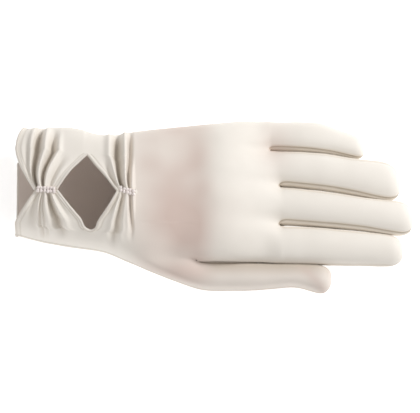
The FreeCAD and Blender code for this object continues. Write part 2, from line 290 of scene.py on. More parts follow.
# ------------------------------------------------------------------ finishes
def new_group(
    name: str, inputs: list[tuple[str, str, float]], outputs: list[tuple[str, str]]
) -> bpy.types.NodeTree:
    """An empty shader node group with named sockets.

    Args:
        name: the group's name.
        inputs: each input's name, kind and starting value.
        outputs: each output's name and kind.

    Returns:
        The group.
    """
    tree = bpy.data.node_groups.new(name, "ShaderNodeTree")
    for label, kind, value in inputs:
        socket = tree.interface.new_socket(label, in_out="INPUT", socket_type=kind)
        if kind == "NodeSocketFloat":
            socket.default_value = value
    for label, kind in outputs:
        tree.interface.new_socket(label, in_out="OUTPUT", socket_type=kind)
    return tree


def math_node(tree: bpy.types.NodeTree, operation: str, a: object, b: object) -> bpy.types.NodeSocket:
    """The result of a sum on two sockets or numbers.

    Args:
        tree: the node tree to add to.
        operation: the sum, such as MULTIPLY.
        a: the first socket or number.
        b: the second.

    Returns:
        The socket that carries the result.
    """
    node = tree.nodes.new("ShaderNodeMath")
    node.operation = operation
    for slot, value in zip(node.inputs, (a, b)):
        if isinstance(value, bpy.types.NodeSocket):
            tree.links.new(value, slot)
        else:
            slot.default_value = value
    return node.outputs[0]


def mix_node(
    tree: bpy.types.NodeTree, share: bpy.types.NodeSocket, first: object, second: object
) -> bpy.types.NodeSocket:
    """A colour between two others.

    Args:
        tree: the node tree to add to.
        share: the socket that says how much there is of the second colour.
        first: the first colour, or its socket.
        second: the second.

    Returns:
        The socket that carries the result.
    """
    node = tree.nodes.new("ShaderNodeMix")
    node.data_type = "RGBA"
    node.clamp_factor = True
    tree.links.new(share, node.inputs[0])
    for slot, value in ((node.inputs[6], first), (node.inputs[7], second)):
        if isinstance(value, bpy.types.NodeSocket):
            tree.links.new(value, slot)
        else:
            slot.default_value = (*value, 1.0)
    return node.outputs[2]


@dataclass(frozen=True)
class Weave:
    """The close warp and weft of stretch satin with a softly brushed face."""

    name: str = "satin weave"

    def group(self) -> bpy.types.NodeTree:
        """The node group: Height of the yarns, and Tone, a slow change of shade.

        Returns:
            The group, built once.
        """
        found = bpy.data.node_groups.get(self.name)
        if found:
            return found
        inputs = [("Yarn Scale", "NodeSocketFloat", 1.0), ("Mottle Scale", "NodeSocketFloat", 1.0)]
        outputs = [("Height", "NodeSocketFloat"), ("Tone", "NodeSocketFloat")]
        tree = new_group(self.name, inputs, outputs)
        start = tree.nodes.new("NodeGroupInput")
        end = tree.nodes.new("NodeGroupOutput")
        where = tree.nodes.new("ShaderNodeTexCoord").outputs["Object"]
        heights = []
        for turn in (0.6, -0.9):
            mapping = tree.nodes.new("ShaderNodeMapping")
            mapping.inputs["Rotation"].default_value = (0.4, 0.5, turn)
            tree.links.new(where, mapping.inputs["Vector"])
            wave = tree.nodes.new("ShaderNodeTexWave")
            wave.inputs["Distortion"].default_value = 1.2
            wave.inputs["Detail"].default_value = 1.0
            tree.links.new(mapping.outputs[0], wave.inputs["Vector"])
            tree.links.new(math_node(tree, "MULTIPLY", start.outputs[0], 700.0), wave.inputs["Scale"])
            heights.append(wave.outputs["Fac"])
        nap = tree.nodes.new("ShaderNodeTexNoise")
        nap.inputs["Detail"].default_value = 3.0
        tree.links.new(where, nap.inputs["Vector"])
        tree.links.new(math_node(tree, "MULTIPLY", start.outputs[0], 1800.0), nap.inputs["Scale"])
        yarns = math_node(tree, "MULTIPLY", heights[0], heights[1])
        tree.links.new(math_node(tree, "ADD", yarns, nap.outputs["Fac"]), end.inputs[0])
        slow = tree.nodes.new("ShaderNodeTexNoise")
        slow.inputs["Detail"].default_value = 2.0
        slow.inputs["Roughness"].default_value = 0.6
        tree.links.new(where, slow.inputs["Vector"])
        tree.links.new(math_node(tree, "MULTIPLY", start.outputs[1], 45.0), slow.inputs["Scale"])
        tree.links.new(slow.outputs["Fac"], end.inputs[1])
        return tree


@dataclass(frozen=True)
class Satin:
    """A matte stretch satin: its colour, the colour of the shade painted into its seams and folds (its
    random mottle leans the same way), the pinkish colour of its broad painted shade, and its nap.
    """

    name: str
    colour: tuple[float, float, float]
    shade: tuple[float, float, float]
    roughness: float = 0.62
    sheen: float = 0.25
    yarn_scale: float = 1.0
    # the pinkish colour that the broad painted shade mixes towards
    dusk: tuple[float, float, float] = (0.66, 0.53, 0.475)
    bump_strength: float = 0.12

    def material(self) -> bpy.types.Material:
        """Builds the finish.

        Returns:
            The material, the same one each time.
        """
        found = bpy.data.materials.get(self.name)
        if found:
            return found
        made = bpy.data.materials.new(self.name)
        made.use_nodes = True
        tree = made.node_tree
        surface = tree.nodes["Principled BSDF"]
        surface.inputs["Roughness"].default_value = self.roughness
        surface.inputs["Sheen Weight"].default_value = self.sheen
        surface.inputs["Sheen Roughness"].default_value = 0.45
        surface.inputs["Sheen Tint"].default_value = (1.0, 0.97, 0.93, 1.0)
        surface.inputs["Specular IOR Level"].default_value = 0.28
        weave = tree.nodes.new("ShaderNodeGroup")
        weave.node_tree = Weave().group()
        weave.inputs["Yarn Scale"].default_value = self.yarn_scale
        weave.inputs["Mottle Scale"].default_value = 1.0
        # painted shade in seams, folds and hems, plus the weave's random mottle, mixed towards the shade
        # colour
        crease_shade_node = tree.nodes.new("ShaderNodeAttribute")
        crease_shade_node.attribute_name = "crease"
        creased = math_node(tree, "MULTIPLY", crease_shade_node.outputs["Fac"], 0.7)
        tone = math_node(tree, "MULTIPLY", weave.outputs["Tone"], 0.14)
        amount = math_node(tree, "ADD", creased, tone)
        crease_shaded_colour = mix_node(tree, amount, self.colour, self.shade)
        # then the broad pinkish painted shade over the back of the hand, on the thumb and inside
        painted_shade_node = tree.nodes.new("ShaderNodeAttribute")
        painted_shade_node.attribute_name = "dusk"
        shaded_colour = mix_node(tree, painted_shade_node.outputs["Fac"], crease_shaded_colour, self.dusk)
        tree.links.new(shaded_colour, surface.inputs["Base Color"])
        relief = tree.nodes.new("ShaderNodeBump")
        relief.inputs["Strength"].default_value = self.bump_strength
        relief.inputs["Distance"].default_value = 0.0002
        tree.links.new(weave.outputs["Height"], relief.inputs["Height"])
        tree.links.new(relief.outputs["Normal"], surface.inputs["Normal"])
        return made


@dataclass(frozen=True)
class Pearl:
    """The pearly glaze of a seed bead."""

    name: str = "pearly glaze"
    colour: tuple[float, float, float] = (0.95, 0.90, 0.87)
    blush: tuple[float, float, float] = (0.90, 0.78, 0.76)

    def material(self) -> bpy.types.Material:
        """Builds the finish.

        Returns:
            The material, the same one each time.
        """
        found = bpy.data.materials.get(self.name)
        if found:
            return found
        made = bpy.data.materials.new(self.name)
        made.use_nodes = True
        tree = made.node_tree
        surface = tree.nodes["Principled BSDF"]
        surface.inputs["Roughness"].default_value = 0.22
        surface.inputs["Coat Weight"].default_value = 0.6
        surface.inputs["Coat Roughness"].default_value = 0.1
        where = tree.nodes.new("ShaderNodeTexCoord").outputs["Object"]
        cloud = tree.nodes.new("ShaderNodeTexNoise")
        cloud.inputs["Scale"].default_value = 900.0
        tree.links.new(where, cloud.inputs["Vector"])
        glaze = mix_node(tree, cloud.outputs["Fac"], self.colour, self.blush)
        tree.links.new(glaze, surface.inputs["Base Color"])
        return made


OUTER = Satin("ivory satin", (0.90, 0.855, 0.795), (0.42, 0.35, 0.26))
# the gussets' satin is the same cloth painted a little darker, with darker painted shade in its seams, for
# the shade between the fingers
SHADED_GUSSET = Satin("ivory satin, gussets", (0.90, 0.84, 0.76), (0.36, 0.29, 0.20))
ROLLED = Satin("ivory satin, rolled edge", (0.88, 0.835, 0.78), (0.50, 0.43, 0.34), 0.6, 0.2)
YARN = Satin("sewing thread", (0.80, 0.75, 0.68), (0.5, 0.44, 0.36), 0.5, 0.1, 2.0)
PEARL = Pearl()


# ------------------------------------------------------------------ the form: a cage of the whole glove
BACK_COUNT = 17  # points across the back, four spaces to a finger
RADIAL_MID = 35
ULNAR_MID = 17


@dataclass
class Cage:
    """Points and four-sided faces of the glove's form, each face with the name of its cloth piece."""

    points: list[tuple[float, float, float]] = field(default_factory=list)
    faces: list[tuple[int, ...]] = field(default_factory=list)
    cloths: list[str] = field(default_factory=list)

    def point(self, x: float, y: float, z: float) -> int:
        """Adds a point and returns its index."""
        self.points.append((x, y, z))
        return len(self.points) - 1

    def face(self, corners: tuple[int, ...], cloth: str) -> None:
        """Adds one face of the named cloth piece."""
        self.faces.append(corners)
        self.cloths.append(cloth)

    def band(self, near: list[int], far: list[int], cloths: list[str | None]) -> None:
        """Joins two rings of points with faces.

        Args:
            near: the ring nearer the cuff.
            far: the other ring.
            cloths: each face's cloth piece, or None for an opening.
        """
        count = len(near)
        for k, cloth in enumerate(cloths):
            after = (k + 1) % count
            if cloth:
                self.face((near[k], far[k], far[after], near[after]), cloth)


@dataclass(frozen=True)
class Stall:
    """A finger or thumb stall: a tapering, rounded tube closed at its tip. Sizes in glove millimetres."""

    name: str
    body: str
    root_width: float
    tip_width: float
    root_height: float
    tip_height: float
    length: float
    root_x: float
    root_y: float
    lean: float
    gussets: tuple[str | None, str | None]
    flat: tuple[float, float]
    setback: float = 0.0
    radial_swell: tuple[tuple[float, float], ...] = ()
    ulnar_swell: tuple[tuple[float, float], ...] = ()
    inner_fullness: float = 0.93

    def straight(self) -> float:
        """Root to where the tip starts to round off."""
        return self.length - 0.5 * self.tip_width

    def width(self, t: float) -> float:
        """Width at a distance from the root."""
        share = (min(max(t, 0.0), self.straight()) / self.straight()) ** 1.5
        return self.root_width + (self.tip_width - self.root_width) * share

    def height(self, t: float) -> float:
        """Height at a distance from the root, a little more at the two joints.

        Args:
            t: distance from the root.

        Returns:
            The height, in millimetres.
        """
        share = min(max(t, 0.0), self.straight()) / self.straight()
        joints = 0.5 * bump(t, 0.40 * self.length, 6.0) + 0.2 * bump(t, 0.70 * self.length, 5.0)
        return self.root_height + (self.tip_height - self.root_height) * share + joints

    def middle(self, t: float) -> float:
        """Y of the stall's middle at a distance from the root."""
        return self.root_y - self.lean * max(t - self.setback, 0.0) ** 1.5

    def swell(self, t: float, side: float) -> float:
        """How far a side stands out beyond the plain taper at a distance from the root."""
        places = self.ulnar_swell if side > 0 else self.radial_swell
        return between(t, [p[0] for p in places], [p[1] for p in places]) if places else 0.0

    def cloths(self) -> list[str]:
        """The cloth piece of each of the twelve faces around the stall.

        Returns:
            The pieces' names, from the back's thumb-side edge round to where they began.
        """
        back, palm = f"{self.name}_back_panel", f"{self.name}_palm_panel"
        radial, ulnar = self.gussets
        return [back] * 4 + [ulnar or back, ulnar or palm] + [palm] * 4 + [radial or palm, radial or back]

    def pieces(self) -> list[str]:
        """The names of the stall's cloth pieces."""
        return sorted(set(self.cloths()))

    def ring(
        self, cage: Cage, t: float, scale: float, open_slit: float = 0.0, gusset: float = 1.0
    ) -> list[int]:
        """Adds a ring of twelve points around the stall.

        Args:
            cage: the form the points are added to.
            t: distance from the root.
            scale: share of the stall's full section, less than 1 over the rounded tip.
            open_slit: how far the sides draw in, next to the root.
            gusset: share of a fourchette's full width, less than 1 where it tapers towards the tip.

        Returns:
            The points' indices: five over the back, one side, five under the palm, the other side.
        """
        half = (self.width(t) / 2 - open_slit) * scale * 1.06
        high = self.height(t)
        middle = high / 2
        reach = high / 2 * scale * 1.047
        seam = 90 - 35 * gusset
        angles = [-seam, -seam / 2, 0, seam / 2, seam, 90, 180 - seam, 180 - seam / 2, 180, 180 + seam / 2]
        angles += [180 + seam, 270]
        made = []
        for angle in angles:
            turn = math.radians(angle)
            side, rise = math.sin(turn), math.cos(turn)
            side = math.copysign(abs(side) ** (self.inner_fullness if side > 0 else 0.93), side)
            rise = math.copysign(abs(rise) ** 0.93, rise)
            z = middle + reach * rise
            if rise < 0:
                z = max(z, 0.15 + 0.25 * (1 - scale))
            y = self.middle(t) + half * side + side * self.swell(t, side) * scale
            made.append(cage.point(self.root_x + t, y, z))
        return made

    def build(self, cage: Cage, root: list[int], starts: list[float]) -> None:
        """Adds the stall to the form, from its root ring to its closed tip.

        Args:
            cage: the form.
            root: the ring it grows from.
            starts: distances from the root of the rings along its straight part.
        """
        cloths = self.cloths()
        ring = root
        for t in starts:
            opening = 0.15 * (1 - smooth(2.0, 12.0, t))
            after = self.ring(cage, t, 1.0, opening, 1 - 0.3 * smooth(0.7, 1.0, t / self.straight()))
            cage.band(ring, after, cloths)
            ring = after
        dome = self.length + 0.9 - self.straight()
        for angle, gusset in ((28.0, 0.5), (52.0, 0.28), (70.0, 0.1)):
            turn = math.radians(angle)
            t = self.straight() + dome * math.sin(turn)
            after = self.ring(cage, t, math.cos(turn) ** 0.72, 0.0, gusset)
            cage.band(ring, after, cloths)
            ring = after
        tip = self.length + 0.9
        row = [ring[11]]
        for k in (1, 2, 3):
            above, below = cage.points[ring[k]], cage.points[ring[10 - k]]
            row.append(cage.point(self.root_x + tip, (above[1] + below[1]) / 2, (above[2] + below[2]) / 2))
        row.append(ring[5])
        for k in range(4):
            cage.face((ring[k], row[k], row[k + 1], ring[k + 1]), cloths[0])
            cage.face((row[k], ring[10 - k], ring[9 - k], row[k + 1]), cloths[6])


GAP = 0.6  # between two fingers at their roots
WEB_X = 144.5  # cuff edge to the webs
SEAM_DEPTH = 0.45
SEAM_WIDTH = 0.75
THUMB = Stall(
    name="thumb",
    body="thumb",
    root_width=14.2,
    tip_width=14.6,
    root_height=16.8,
    tip_height=13.6,
    length=75.0,
    root_x=97.0,
    root_y=-48.0,
    lean=0.0,
    gussets=(None, None),
    flat=(0.03, 0.09),
    radial_swell=(
        (0.0, -0.2),
        (30.0, -0.4),
        (40.0, -1.0),
        (49.0, -2.6),
        (56.0, -3.6),
        (62.5, -1.6),
        (70.0, 1.4),
    ),
    ulnar_swell=((0.0, 1.9), (10.0, 1.9), (24.0, 1.4), (60.0, 0.9), (70.0, 0.5)),
    inner_fullness=0.6,
)


@dataclass(frozen=True)
class FingerSize:
    """What sets one finger apart: its sizes in millimetres and how its two edges drift towards the thumb.

    Each edge drifts by its figure times the distance from the web raised to 1.5, so fingers that share a
    figure lie along each other.
    """

    name: str
    root_width: float
    root_height: float
    tip_height: float
    length: float
    radial_drift: float
    ulnar_drift: float
    flat: tuple[float, float]
    setback: float = 0.0
    radial_swell: tuple[tuple[float, float], ...] = ()
    ulnar_swell: tuple[tuple[float, float], ...] = ()


FINGERS = (
    FingerSize("index", 21.8, 19.0, 13.8, 67.0, 0.0, 0.0094, (0.0265, 0.068)),
    FingerSize(
        "middle",
        21.2,
        19.4,
        14.0,
        72.5,
        0.0094,
        0.0163,
        (0.022, 0.074),
        ulnar_swell=((50.0, 0.0), (62.0, 1.2), (70.0, 2.8)),
    ),
    FingerSize(
        "ring",
        20.0,
        18.6,
        13.4,
        66.0,
        0.0163,
        0.0172,
        (0.0215, 0.068),
        ulnar_swell=((0.0, 0.0), (14.0, 0.7), (28.0, 1.3), (39.0, 1.2), (50.0, 1.9), (58.0, 2.6)),
    ),
    FingerSize(
        "little",
        16.6,
        16.4,
        11.8,
        52.0,
        0.0172,
        0.0335,
        (0.02, 0.052),
        6.0,
        radial_swell=((6.0, 0.0), (20.0, -0.7), (34.0, -1.3), (45.0, -0.8)),
        ulnar_swell=((0.0, 0.0), (12.0, 0.9), (20.0, 2.4), (30.0, 4.2), (38.0, 2.4), (46.0, 2.4)),
    ),
)


def finger_stalls() -> list[Stall]:
    """The four finger stalls, each lying along its neighbour.

    Returns:
        The stalls, from the index finger to the little finger.
    """
    edge = -(sum(size.root_width for size in FINGERS) + GAP * 3) / 2
    stalls: list[Stall] = []
    for k, size in enumerate(FINGERS):
        taper = size.ulnar_drift - size.radial_drift
        straight = size.length - 0.5 * size.root_width * 0.86
        stalls.append(
            Stall(
                name=size.name,
                body=f"{size.name}_finger",
                root_width=size.root_width,
                tip_width=size.root_width - taper * straight**1.5,
                root_height=size.root_height,
                tip_height=size.tip_height,
                length=size.length,
                root_x=WEB_X - size.setback,
                root_y=edge + size.root_width / 2,
                lean=(size.ulnar_drift + size.radial_drift) / 2,
                gussets=(
                    f"{size.name}_fourchette_{FINGERS[k - 1].name}_side" if k else None,
                    f"{size.name}_fourchette_{FINGERS[k + 1].name}_side" if k < 3 else None,
                ),
                flat=size.flat,
                setback=size.setback,
                radial_swell=size.radial_swell,
                ulnar_swell=size.ulnar_swell,
            )
        )
        edge += size.root_width + GAP
    return stalls


@dataclass
class HandForm:
    """The whole glove as one smooth form: hand, wrist, four fingers and a thumb. Glove millimetres."""

    stations: tuple[tuple[float, float, float, float], ...] = (
        (0.0, 3.9, 30.3, 39.0),
        (9.0, 2.6, 31.6, 39.6),
        (20.0, 1.3, 33.0, 40.0),
        (31.0, 0.6, 33.9, 39.8),
        (40.0, -1.4, 33.2, 39.0),
        (49.0, -2.8, 32.8, 38.2),
        (58.0, -4.2, 36.0, 37.2),
        (66.0, -5.1, 38.3, 36.2),
        (74.0, -4.5, 38.8, 34.8),
        (82.0, -2.8, 38.2, 33.0),
        (90.0, -2.3, 38.8, 31.2),
        (98.0, -1.8, 39.3, 30.2),
        (106.0, -1.3, 39.8, 30.0),
        (114.0, -0.8, 40.2, 29.4),
        (122.0, -0.4, 40.6, 27.4),
        (130.0, -0.1, 40.8, 24.6),
        (137.4, 0.0, 40.8, 21.8),
    )
    wrist_rows: int = 7
    thumb_row: int = 7
    power: float = 2.35
    side_dip: float = 5.5
    web_setback: float = 4.6
    borders: list[float] = field(default_factory=list)

    def section(self, x: float) -> tuple[float, float, float]:
        """Middle Y, half width and height of the hand at a distance from the cuff edge."""
        rows = np.array(self.stations)
        return tuple(float(np.interp(x, rows[:, 0], rows[:, c])) for c in (1, 2, 3))

    def across(self, m: int) -> float:
        """Where a column lies across the hand, from -1 on the thumb side to 1."""
        return float(np.interp(m, [0, 4, 8, 12, 16], [b / 40.7 for b in self.borders])) * 0.945

    def set_back(self, x: float, m: int) -> float:
        """How far a column slides towards the cuff, near the little finger's web."""
        return smooth(118.0, 138.0, x) * between(m, [8, 12, 16], [0.0, 1.0, 1.0]) * self.web_setback

    def hand_ring(self, cage: Cage, row: int) -> list[int]:
        """Adds one ring of 36 points around the hand.

        Args:
            cage: the form.
            row: which station.

        Returns:
            The points' indices: 17 over the back, one side, 17 under the palm, the other side.
        """
        x, middle, half, top = self.stations[row]
        made = []
        centre = top / 2
        towards_web = smooth(112.0, WEB_X, x)
        dip = self.side_dip * (1 - smooth(0.0, 24.0, x))
        for m in range(BACK_COUNT):
            f = self.across(m)
            rise = (1 - abs(f) ** self.power) ** (1 / self.power)
            valley = abs(math.cos(m * math.pi / 4)) ** 1.5 if m in (4, 8, 12) else 0.0
            lift = 0.8 * bump(x, 113.0, 7.0) * abs(math.sin(m * math.pi / 4)) ** 2
            z = centre + centre * rise - 2.8 * towards_web**1.5 * valley + lift
            slide = self.set_back(x, m)
            slide -= dip * smooth(13.0, 17.5, m)
            made.append(cage.point(x - slide, middle + half * f, z))
        made.append(cage.point(x + dip - self.set_back(x, BACK_COUNT), middle + half, centre * 0.96))
        for m in range(BACK_COUNT - 1, -1, -1):
            f = self.across(m)
            rise = (1 - abs(f) ** (self.power + 0.6)) ** (1 / (self.power + 0.6))
            z = max(centre - centre * rise * 1.02, 0.0)
            slide = self.set_back(x, m)
            slide -= dip * smooth(12.0, 17.5, m)
            made.append(cage.point(x - slide, middle + half * f, z))
        made.append(cage.point(x, middle - half, centre * 0.96))
        return made

    def web_ring(self, cage: Cage, stalls: list[Stall]) -> tuple[list[int], list[int]]:
        """Adds the ring where the fingers part, and the three points midway down the crotches.

        Args:
            cage: the form.
            stalls: the finger stalls.

        Returns:
            The ring's 36 indices, and the three midway ones.
        """
        backs, palms = [], []
        for m in range(BACK_COUNT):
            finger = min(m // 4, 3)
            stall = stalls[finger]
            u = (m - 4 * finger) / 4
            x = between(m, [8, 12, 16], [WEB_X, 138.5, 138.5])
            border = m in (4, 8, 12)
            draw_in = 0.93 if m in (0, 16) else 1.0
            y = self.borders[m // 4] if border else stall.root_y + stall.root_width * (u - 0.5) * draw_in
            crown = stall.root_height * (0.5 + 0.5 * math.cos(math.radians(110 * (u - 0.5))) ** 0.93)
            z = 12.6 if border else crown + 0.6
            backs.append(cage.point(x, y, z))
            low = 3.6 if border else (2.6 if m in (0, 16) else 0.2)
            palms.append(cage.point(x, y, low))
        ulnar = cage.point(138.5, self.borders[4] + 0.4, 8.4)
        radial = cage.point(WEB_X, self.borders[0] - 0.4, 9.4)
        mids = []
        for m in (4, 8, 12):
            mids.append(cage.point(between(m, [8, 12], [144.0, 138.2]), self.borders[m // 4], 9.0))
        return backs + [ulnar] + palms[::-1] + [radial], mids

    def cloth_row(self, row: int) -> list[str | None]:
        """The cloth piece of each of the 36 faces beyond a ring, open where the thumb joins.

        Args:
            row: the station the faces begin at.

        Returns:
            The pieces' names, with None for the thumb's opening.
        """
        back = "wrist_form" if row < self.wrist_rows else "hand_back_panel"
        cloths: list[str | None] = [back] * 17 + ["palm_panel"] * 18 + [back]
        if self.thumb_row <= row < self.thumb_row + 4:
            cloths[RADIAL_MID - 1] = cloths[RADIAL_MID] = None
        return cloths

    def build(self, stalls: list[Stall], thumb: Stall) -> Cage:
        """The cage of the whole glove.

        Args:
            stalls: the finger stalls.
            thumb: the thumb stall.

        Returns:
            The cage, with every face named for its cloth piece.
        """
        cage = Cage()
        edge = -(sum(s.root_width for s in stalls) + GAP * 3) / 2
        self.borders = [edge]
        for stall in stalls:
            edge += stall.root_width + GAP
            self.borders.append(edge - GAP / 2)
        self.borders[4] -= GAP / 2
        rings = [self.hand_ring(cage, row) for row in range(len(self.stations))]
        web, mids = self.web_ring(cage, stalls)
        for row, (near, far) in enumerate(zip(rings, rings[1:] + [web])):
            cage.band(near, far, self.cloth_row(row))
        for k, stall in enumerate(stalls):
            columns = range(4 * k, 4 * k + 5)
            ulnar = web[ULNAR_MID] if k == 3 else mids[k]
            radial = web[RADIAL_MID] if k == 0 else mids[k - 1]
            root = [web[m] for m in columns] + [ulnar] + [web[34 - m] for m in reversed(columns)] + [radial]
            reach = stall.straight()
            starts = [2.2, 6.0, 11.0, 18.0] + [reach * s for s in (0.4, 0.51, 0.63, 0.76, 0.89, 1.0)]
            stall.build(cage, root, starts)
        self.build_thumb(cage, rings, thumb)
        return cage

    def build_thumb(self, cage: Cage, rings: list[list[int]], thumb: Stall) -> None:
        """Adds the thumb, which grows out of the opening in the hand's side.

        Args:
            cage: the form.
            rings: the hand's rings.
            thumb: the thumb stall.
        """
        r = self.thumb_row
        top = [rings[r + i][0] for i in range(5)]
        under = [rings[r + 4 - i][34] for i in range(5)]
        root = top + [rings[r + 4][RADIAL_MID]] + under + [rings[r][RADIAL_MID]]
        first = thumb.ring(cage, 4.0, 1.0)
        ring = root
        for share in (0.33, 0.68):
            bulge = 0.3 * math.sin(math.pi * share)
            made = []
            for k, (a, b) in enumerate(zip(root, first)):
                pa, pb = np.array(cage.points[a]), np.array(cage.points[b])
                p = pa + (pb - pa) * share
                out = -bulge if k in (0, 1, 10, 11) else 0.0
                made.append(cage.point(p[0] + 1.5 * out, p[1] + out, max(p[2], 0.2)))
            cage.band(ring, made, thumb.cloths())
            ring = made
        cage.band(ring, first, thumb.cloths())
        reach = thumb.straight()
        thumb.build(cage, first, [12.0, 20.0] + [reach * s for s in (0.42, 0.55, 0.68, 0.8, 0.9, 1.0)])


@dataclass
class ClothForm:
    """The form made smooth, with its creases, seams, the shade painted into them, and the arrays the pieces
    are cut from.
    """

    names: list[str] = field(default_factory=list)
    points: np.ndarray = field(default_factory=lambda: np.zeros((0, 3)))
    normals: np.ndarray = field(default_factory=lambda: np.zeros((0, 3)))
    faces: list[tuple[int, ...]] = field(default_factory=list)
    cloth_of: np.ndarray = field(default_factory=lambda: np.zeros(0, int))
    crease: np.ndarray = field(default_factory=lambda: np.zeros(0))

    def smooth_cage(self, cage: Cage, levels: int) -> None:
        """Subdivides the cage and reads back its points, faces and cloths, in glove millimetres.

        Args:
            cage: the cage.
            levels: how many times each face is divided.
        """
        self.names = sorted(set(cage.cloths))
        mesh = bpy.data.meshes.new("form")
        mesh.from_pydata(cage.points, [], cage.faces)
        item = bpy.data.objects.new("form", mesh)
        bpy.context.scene.collection.objects.link(item)
        for _ in self.names:
            mesh.materials.append(None)
        mesh.polygons.foreach_set("material_index", [self.names.index(c) for c in cage.cloths])
        smoother = item.modifiers.new("Smooth", "SUBSURF")
        smoother.levels = smoother.render_levels = levels
        smoother.boundary_smooth = "PRESERVE_CORNERS"
        apply_modifiers(item)
        mesh = item.data
        self.points, self.normals = mesh_arrays(mesh)
        self.faces = [tuple(p.vertices) for p in mesh.polygons]
        self.cloth_of = np.zeros(len(self.faces), int)
        mesh.polygons.foreach_get("material_index", self.cloth_of)
        self.crease = np.zeros(len(self.points))
        bpy.data.objects.remove(item)

    def sewn_group(self, name: str) -> int:
        """A number for the cloth that a piece is cut in one with, so that only sewn edges count as seams.

        Args:
            name: the piece's name.

        Returns:
            The number, the same for pieces with no seam between them.
        """
        if "fourchette" in name:
            return 2 + self.names.index(name)
        return 1 if "palm" in name else 0

    def seam_distance(self) -> np.ndarray:
        """Each point's distance to the nearest seam, in millimetres.

        Returns:
            The distances, one to a point.
        """
        corners = np.array(self.faces)
        low = np.full(len(self.points), 10**6)
        high = np.full(len(self.points), -1)
        group = np.array([self.sewn_group(name) for name in self.names])[self.cloth_of]
        for k in range(corners.shape[1]):
            np.minimum.at(low, corners[:, k], group)
            np.maximum.at(high, corners[:, k], group)
        on_seam = np.flatnonzero(low != high)
        tree = KDTree(len(on_seam))
        for k, index in enumerate(on_seam):
            tree.insert(self.points[index], k)
        tree.balance()
        return np.array([tree.find(p)[2] for p in self.points])

    def crease_cloth(self, stalls: list[Stall]) -> None:
        """Moves the form's points along their normals: faint tendons, soft folds and slow unevenness; also
        paints a shadow on the thumb along the index finger's edge.

        Args:
            stalls: the finger stalls, whose tendons show a little.
        """
        move = np.zeros(len(self.points))
        for k, p in enumerate(self.points):
            x, y, z = p
            n = self.normals[k]
            up = max(n[2], 0.0)
            slow = noise.noise(Vector((x / 26, y / 20, z / 20)))
            fine = noise.noise(Vector((x / 9 + 5, y / 13, z / 13)))
            move[k] += 0.35 * slow * smooth(66, 80, x) + 0.12 * fine
            if x > 98.0 and x < 150.0:
                for stall in stalls:
                    tendon = bump(y, stall.root_y * (0.55 + 0.45 * smooth(90, 140, x)), 4.5)
                    move[k] += up * tendon * (0.12 * smooth(98, 110, x) * (1 - smooth(128, 148, x)))
            if x > 60.0 and y < -22.0 and z > 8.0:
                fold = math.sin((x * 0.62 - y * 0.50) * 0.42 + 1.3 * slow)
                move[k] += 0.28 * fold * bump(x, 84, 15) * up
            # painted shadow cast by the index finger on the thumb's top, fading towards the thumb's tip
            near_thumb = smooth(-50.0, -42.0, y) * smooth(98.0, 110.0, x) * (1 - smooth(-40.6, -40.0, y))
            self.crease[k] = 0.85 * near_thumb * smooth(4.0, 8.0, z) * (1 - 0.5 * smooth(160.0, 172.0, x))
        self.points = self.points + self.normals * move[:, None]
        self.settle_normals()

    def painted_shades(self) -> np.ndarray:
        """How much painted shade the cloth gets at each point: most over the back of the hand, towards the
        thumb.
        """
        return np.array([painted_shade_at(*p) for p in self.points])

    def sink_seams(self, depth: float, width: float) -> None:
        """Rolls the cloth in along every seam, with a faint ridge beside it over the turnings, and paints
        shade into each groove.

        Args:
            depth: how far a seam sinks, in millimetres.
            width: half width of the roll.
        """
        away = self.seam_distance()
        groove = np.exp(-((away / width) ** 2))
        ridge = np.exp(-(((away - 2.2 * width) / width) ** 2))
        self.points = self.points + self.normals * (0.10 * ridge - depth * groove)[:, None]
        # painted shade in the grooves: stronger on the hand and where a groove faces away from the key light
        on_hand = 0.4 * (self.points[:, 0] < 138.0)
        facing = 0.2 + on_hand + (0.8 - on_hand) * np.clip(0.5 - self.normals[:, 1] * 1.5, 0.0, 1.0)
        self.crease = np.maximum(self.crease, groove**1.5 * facing)
        self.settle_normals()

    def settle_normals(self) -> None:
        """Works out each point's direction again after the form has moved."""
        corners = np.array(self.faces)
        p = self.points
        face = np.cross(p[corners[:, 2]] - p[corners[:, 0]], p[corners[:, 3]] - p[corners[:, 1]])
        total = np.zeros_like(p)
        for k in range(4):
            np.add.at(total, corners[:, k], face)
        self.normals = total / np.maximum(np.linalg.norm(total, axis=1, keepdims=True), 1e-12)

    def cut(self, name: str) -> tuple[bpy.types.Object, np.ndarray]:
        """Cuts one cloth piece, single ply, out of the form.

        Args:
            name: the piece's name.

        Returns:
            The sheet, and the form's direction at each of its points.
        """
        picked = [self.faces[k] for k in np.flatnonzero(self.cloth_of == self.names.index(name))]
        used = np.unique(np.array(picked))
        place = {int(v): k for k, v in enumerate(used)}
        faces = [tuple(place[v] for v in f) for f in picked]
        # the painted crease shade and the broad painted shade go with each piece as point values
        values = {"crease": self.crease[used], "dusk": self.painted_shades()[used]}
        return cloth_object(name, self.points[used], faces, values), self.normals[used]


# ------------------------------------------------------------------ the fanned wrist
@dataclass(frozen=True)
class Fold:
    """A valley between two soft pleats.

    Attributes:
        near: place across the strip at the band, from 0 at the side nearer the cuff to 1.
        far: place across the strip well away from the band.
        depth: depth in millimetres where it is deepest.
        width: half width as a share of the strip.
        reach: how far it runs from the band, in millimetres.
    """

    near: float
    far: float
    depth: float
    width: float
    reach: float


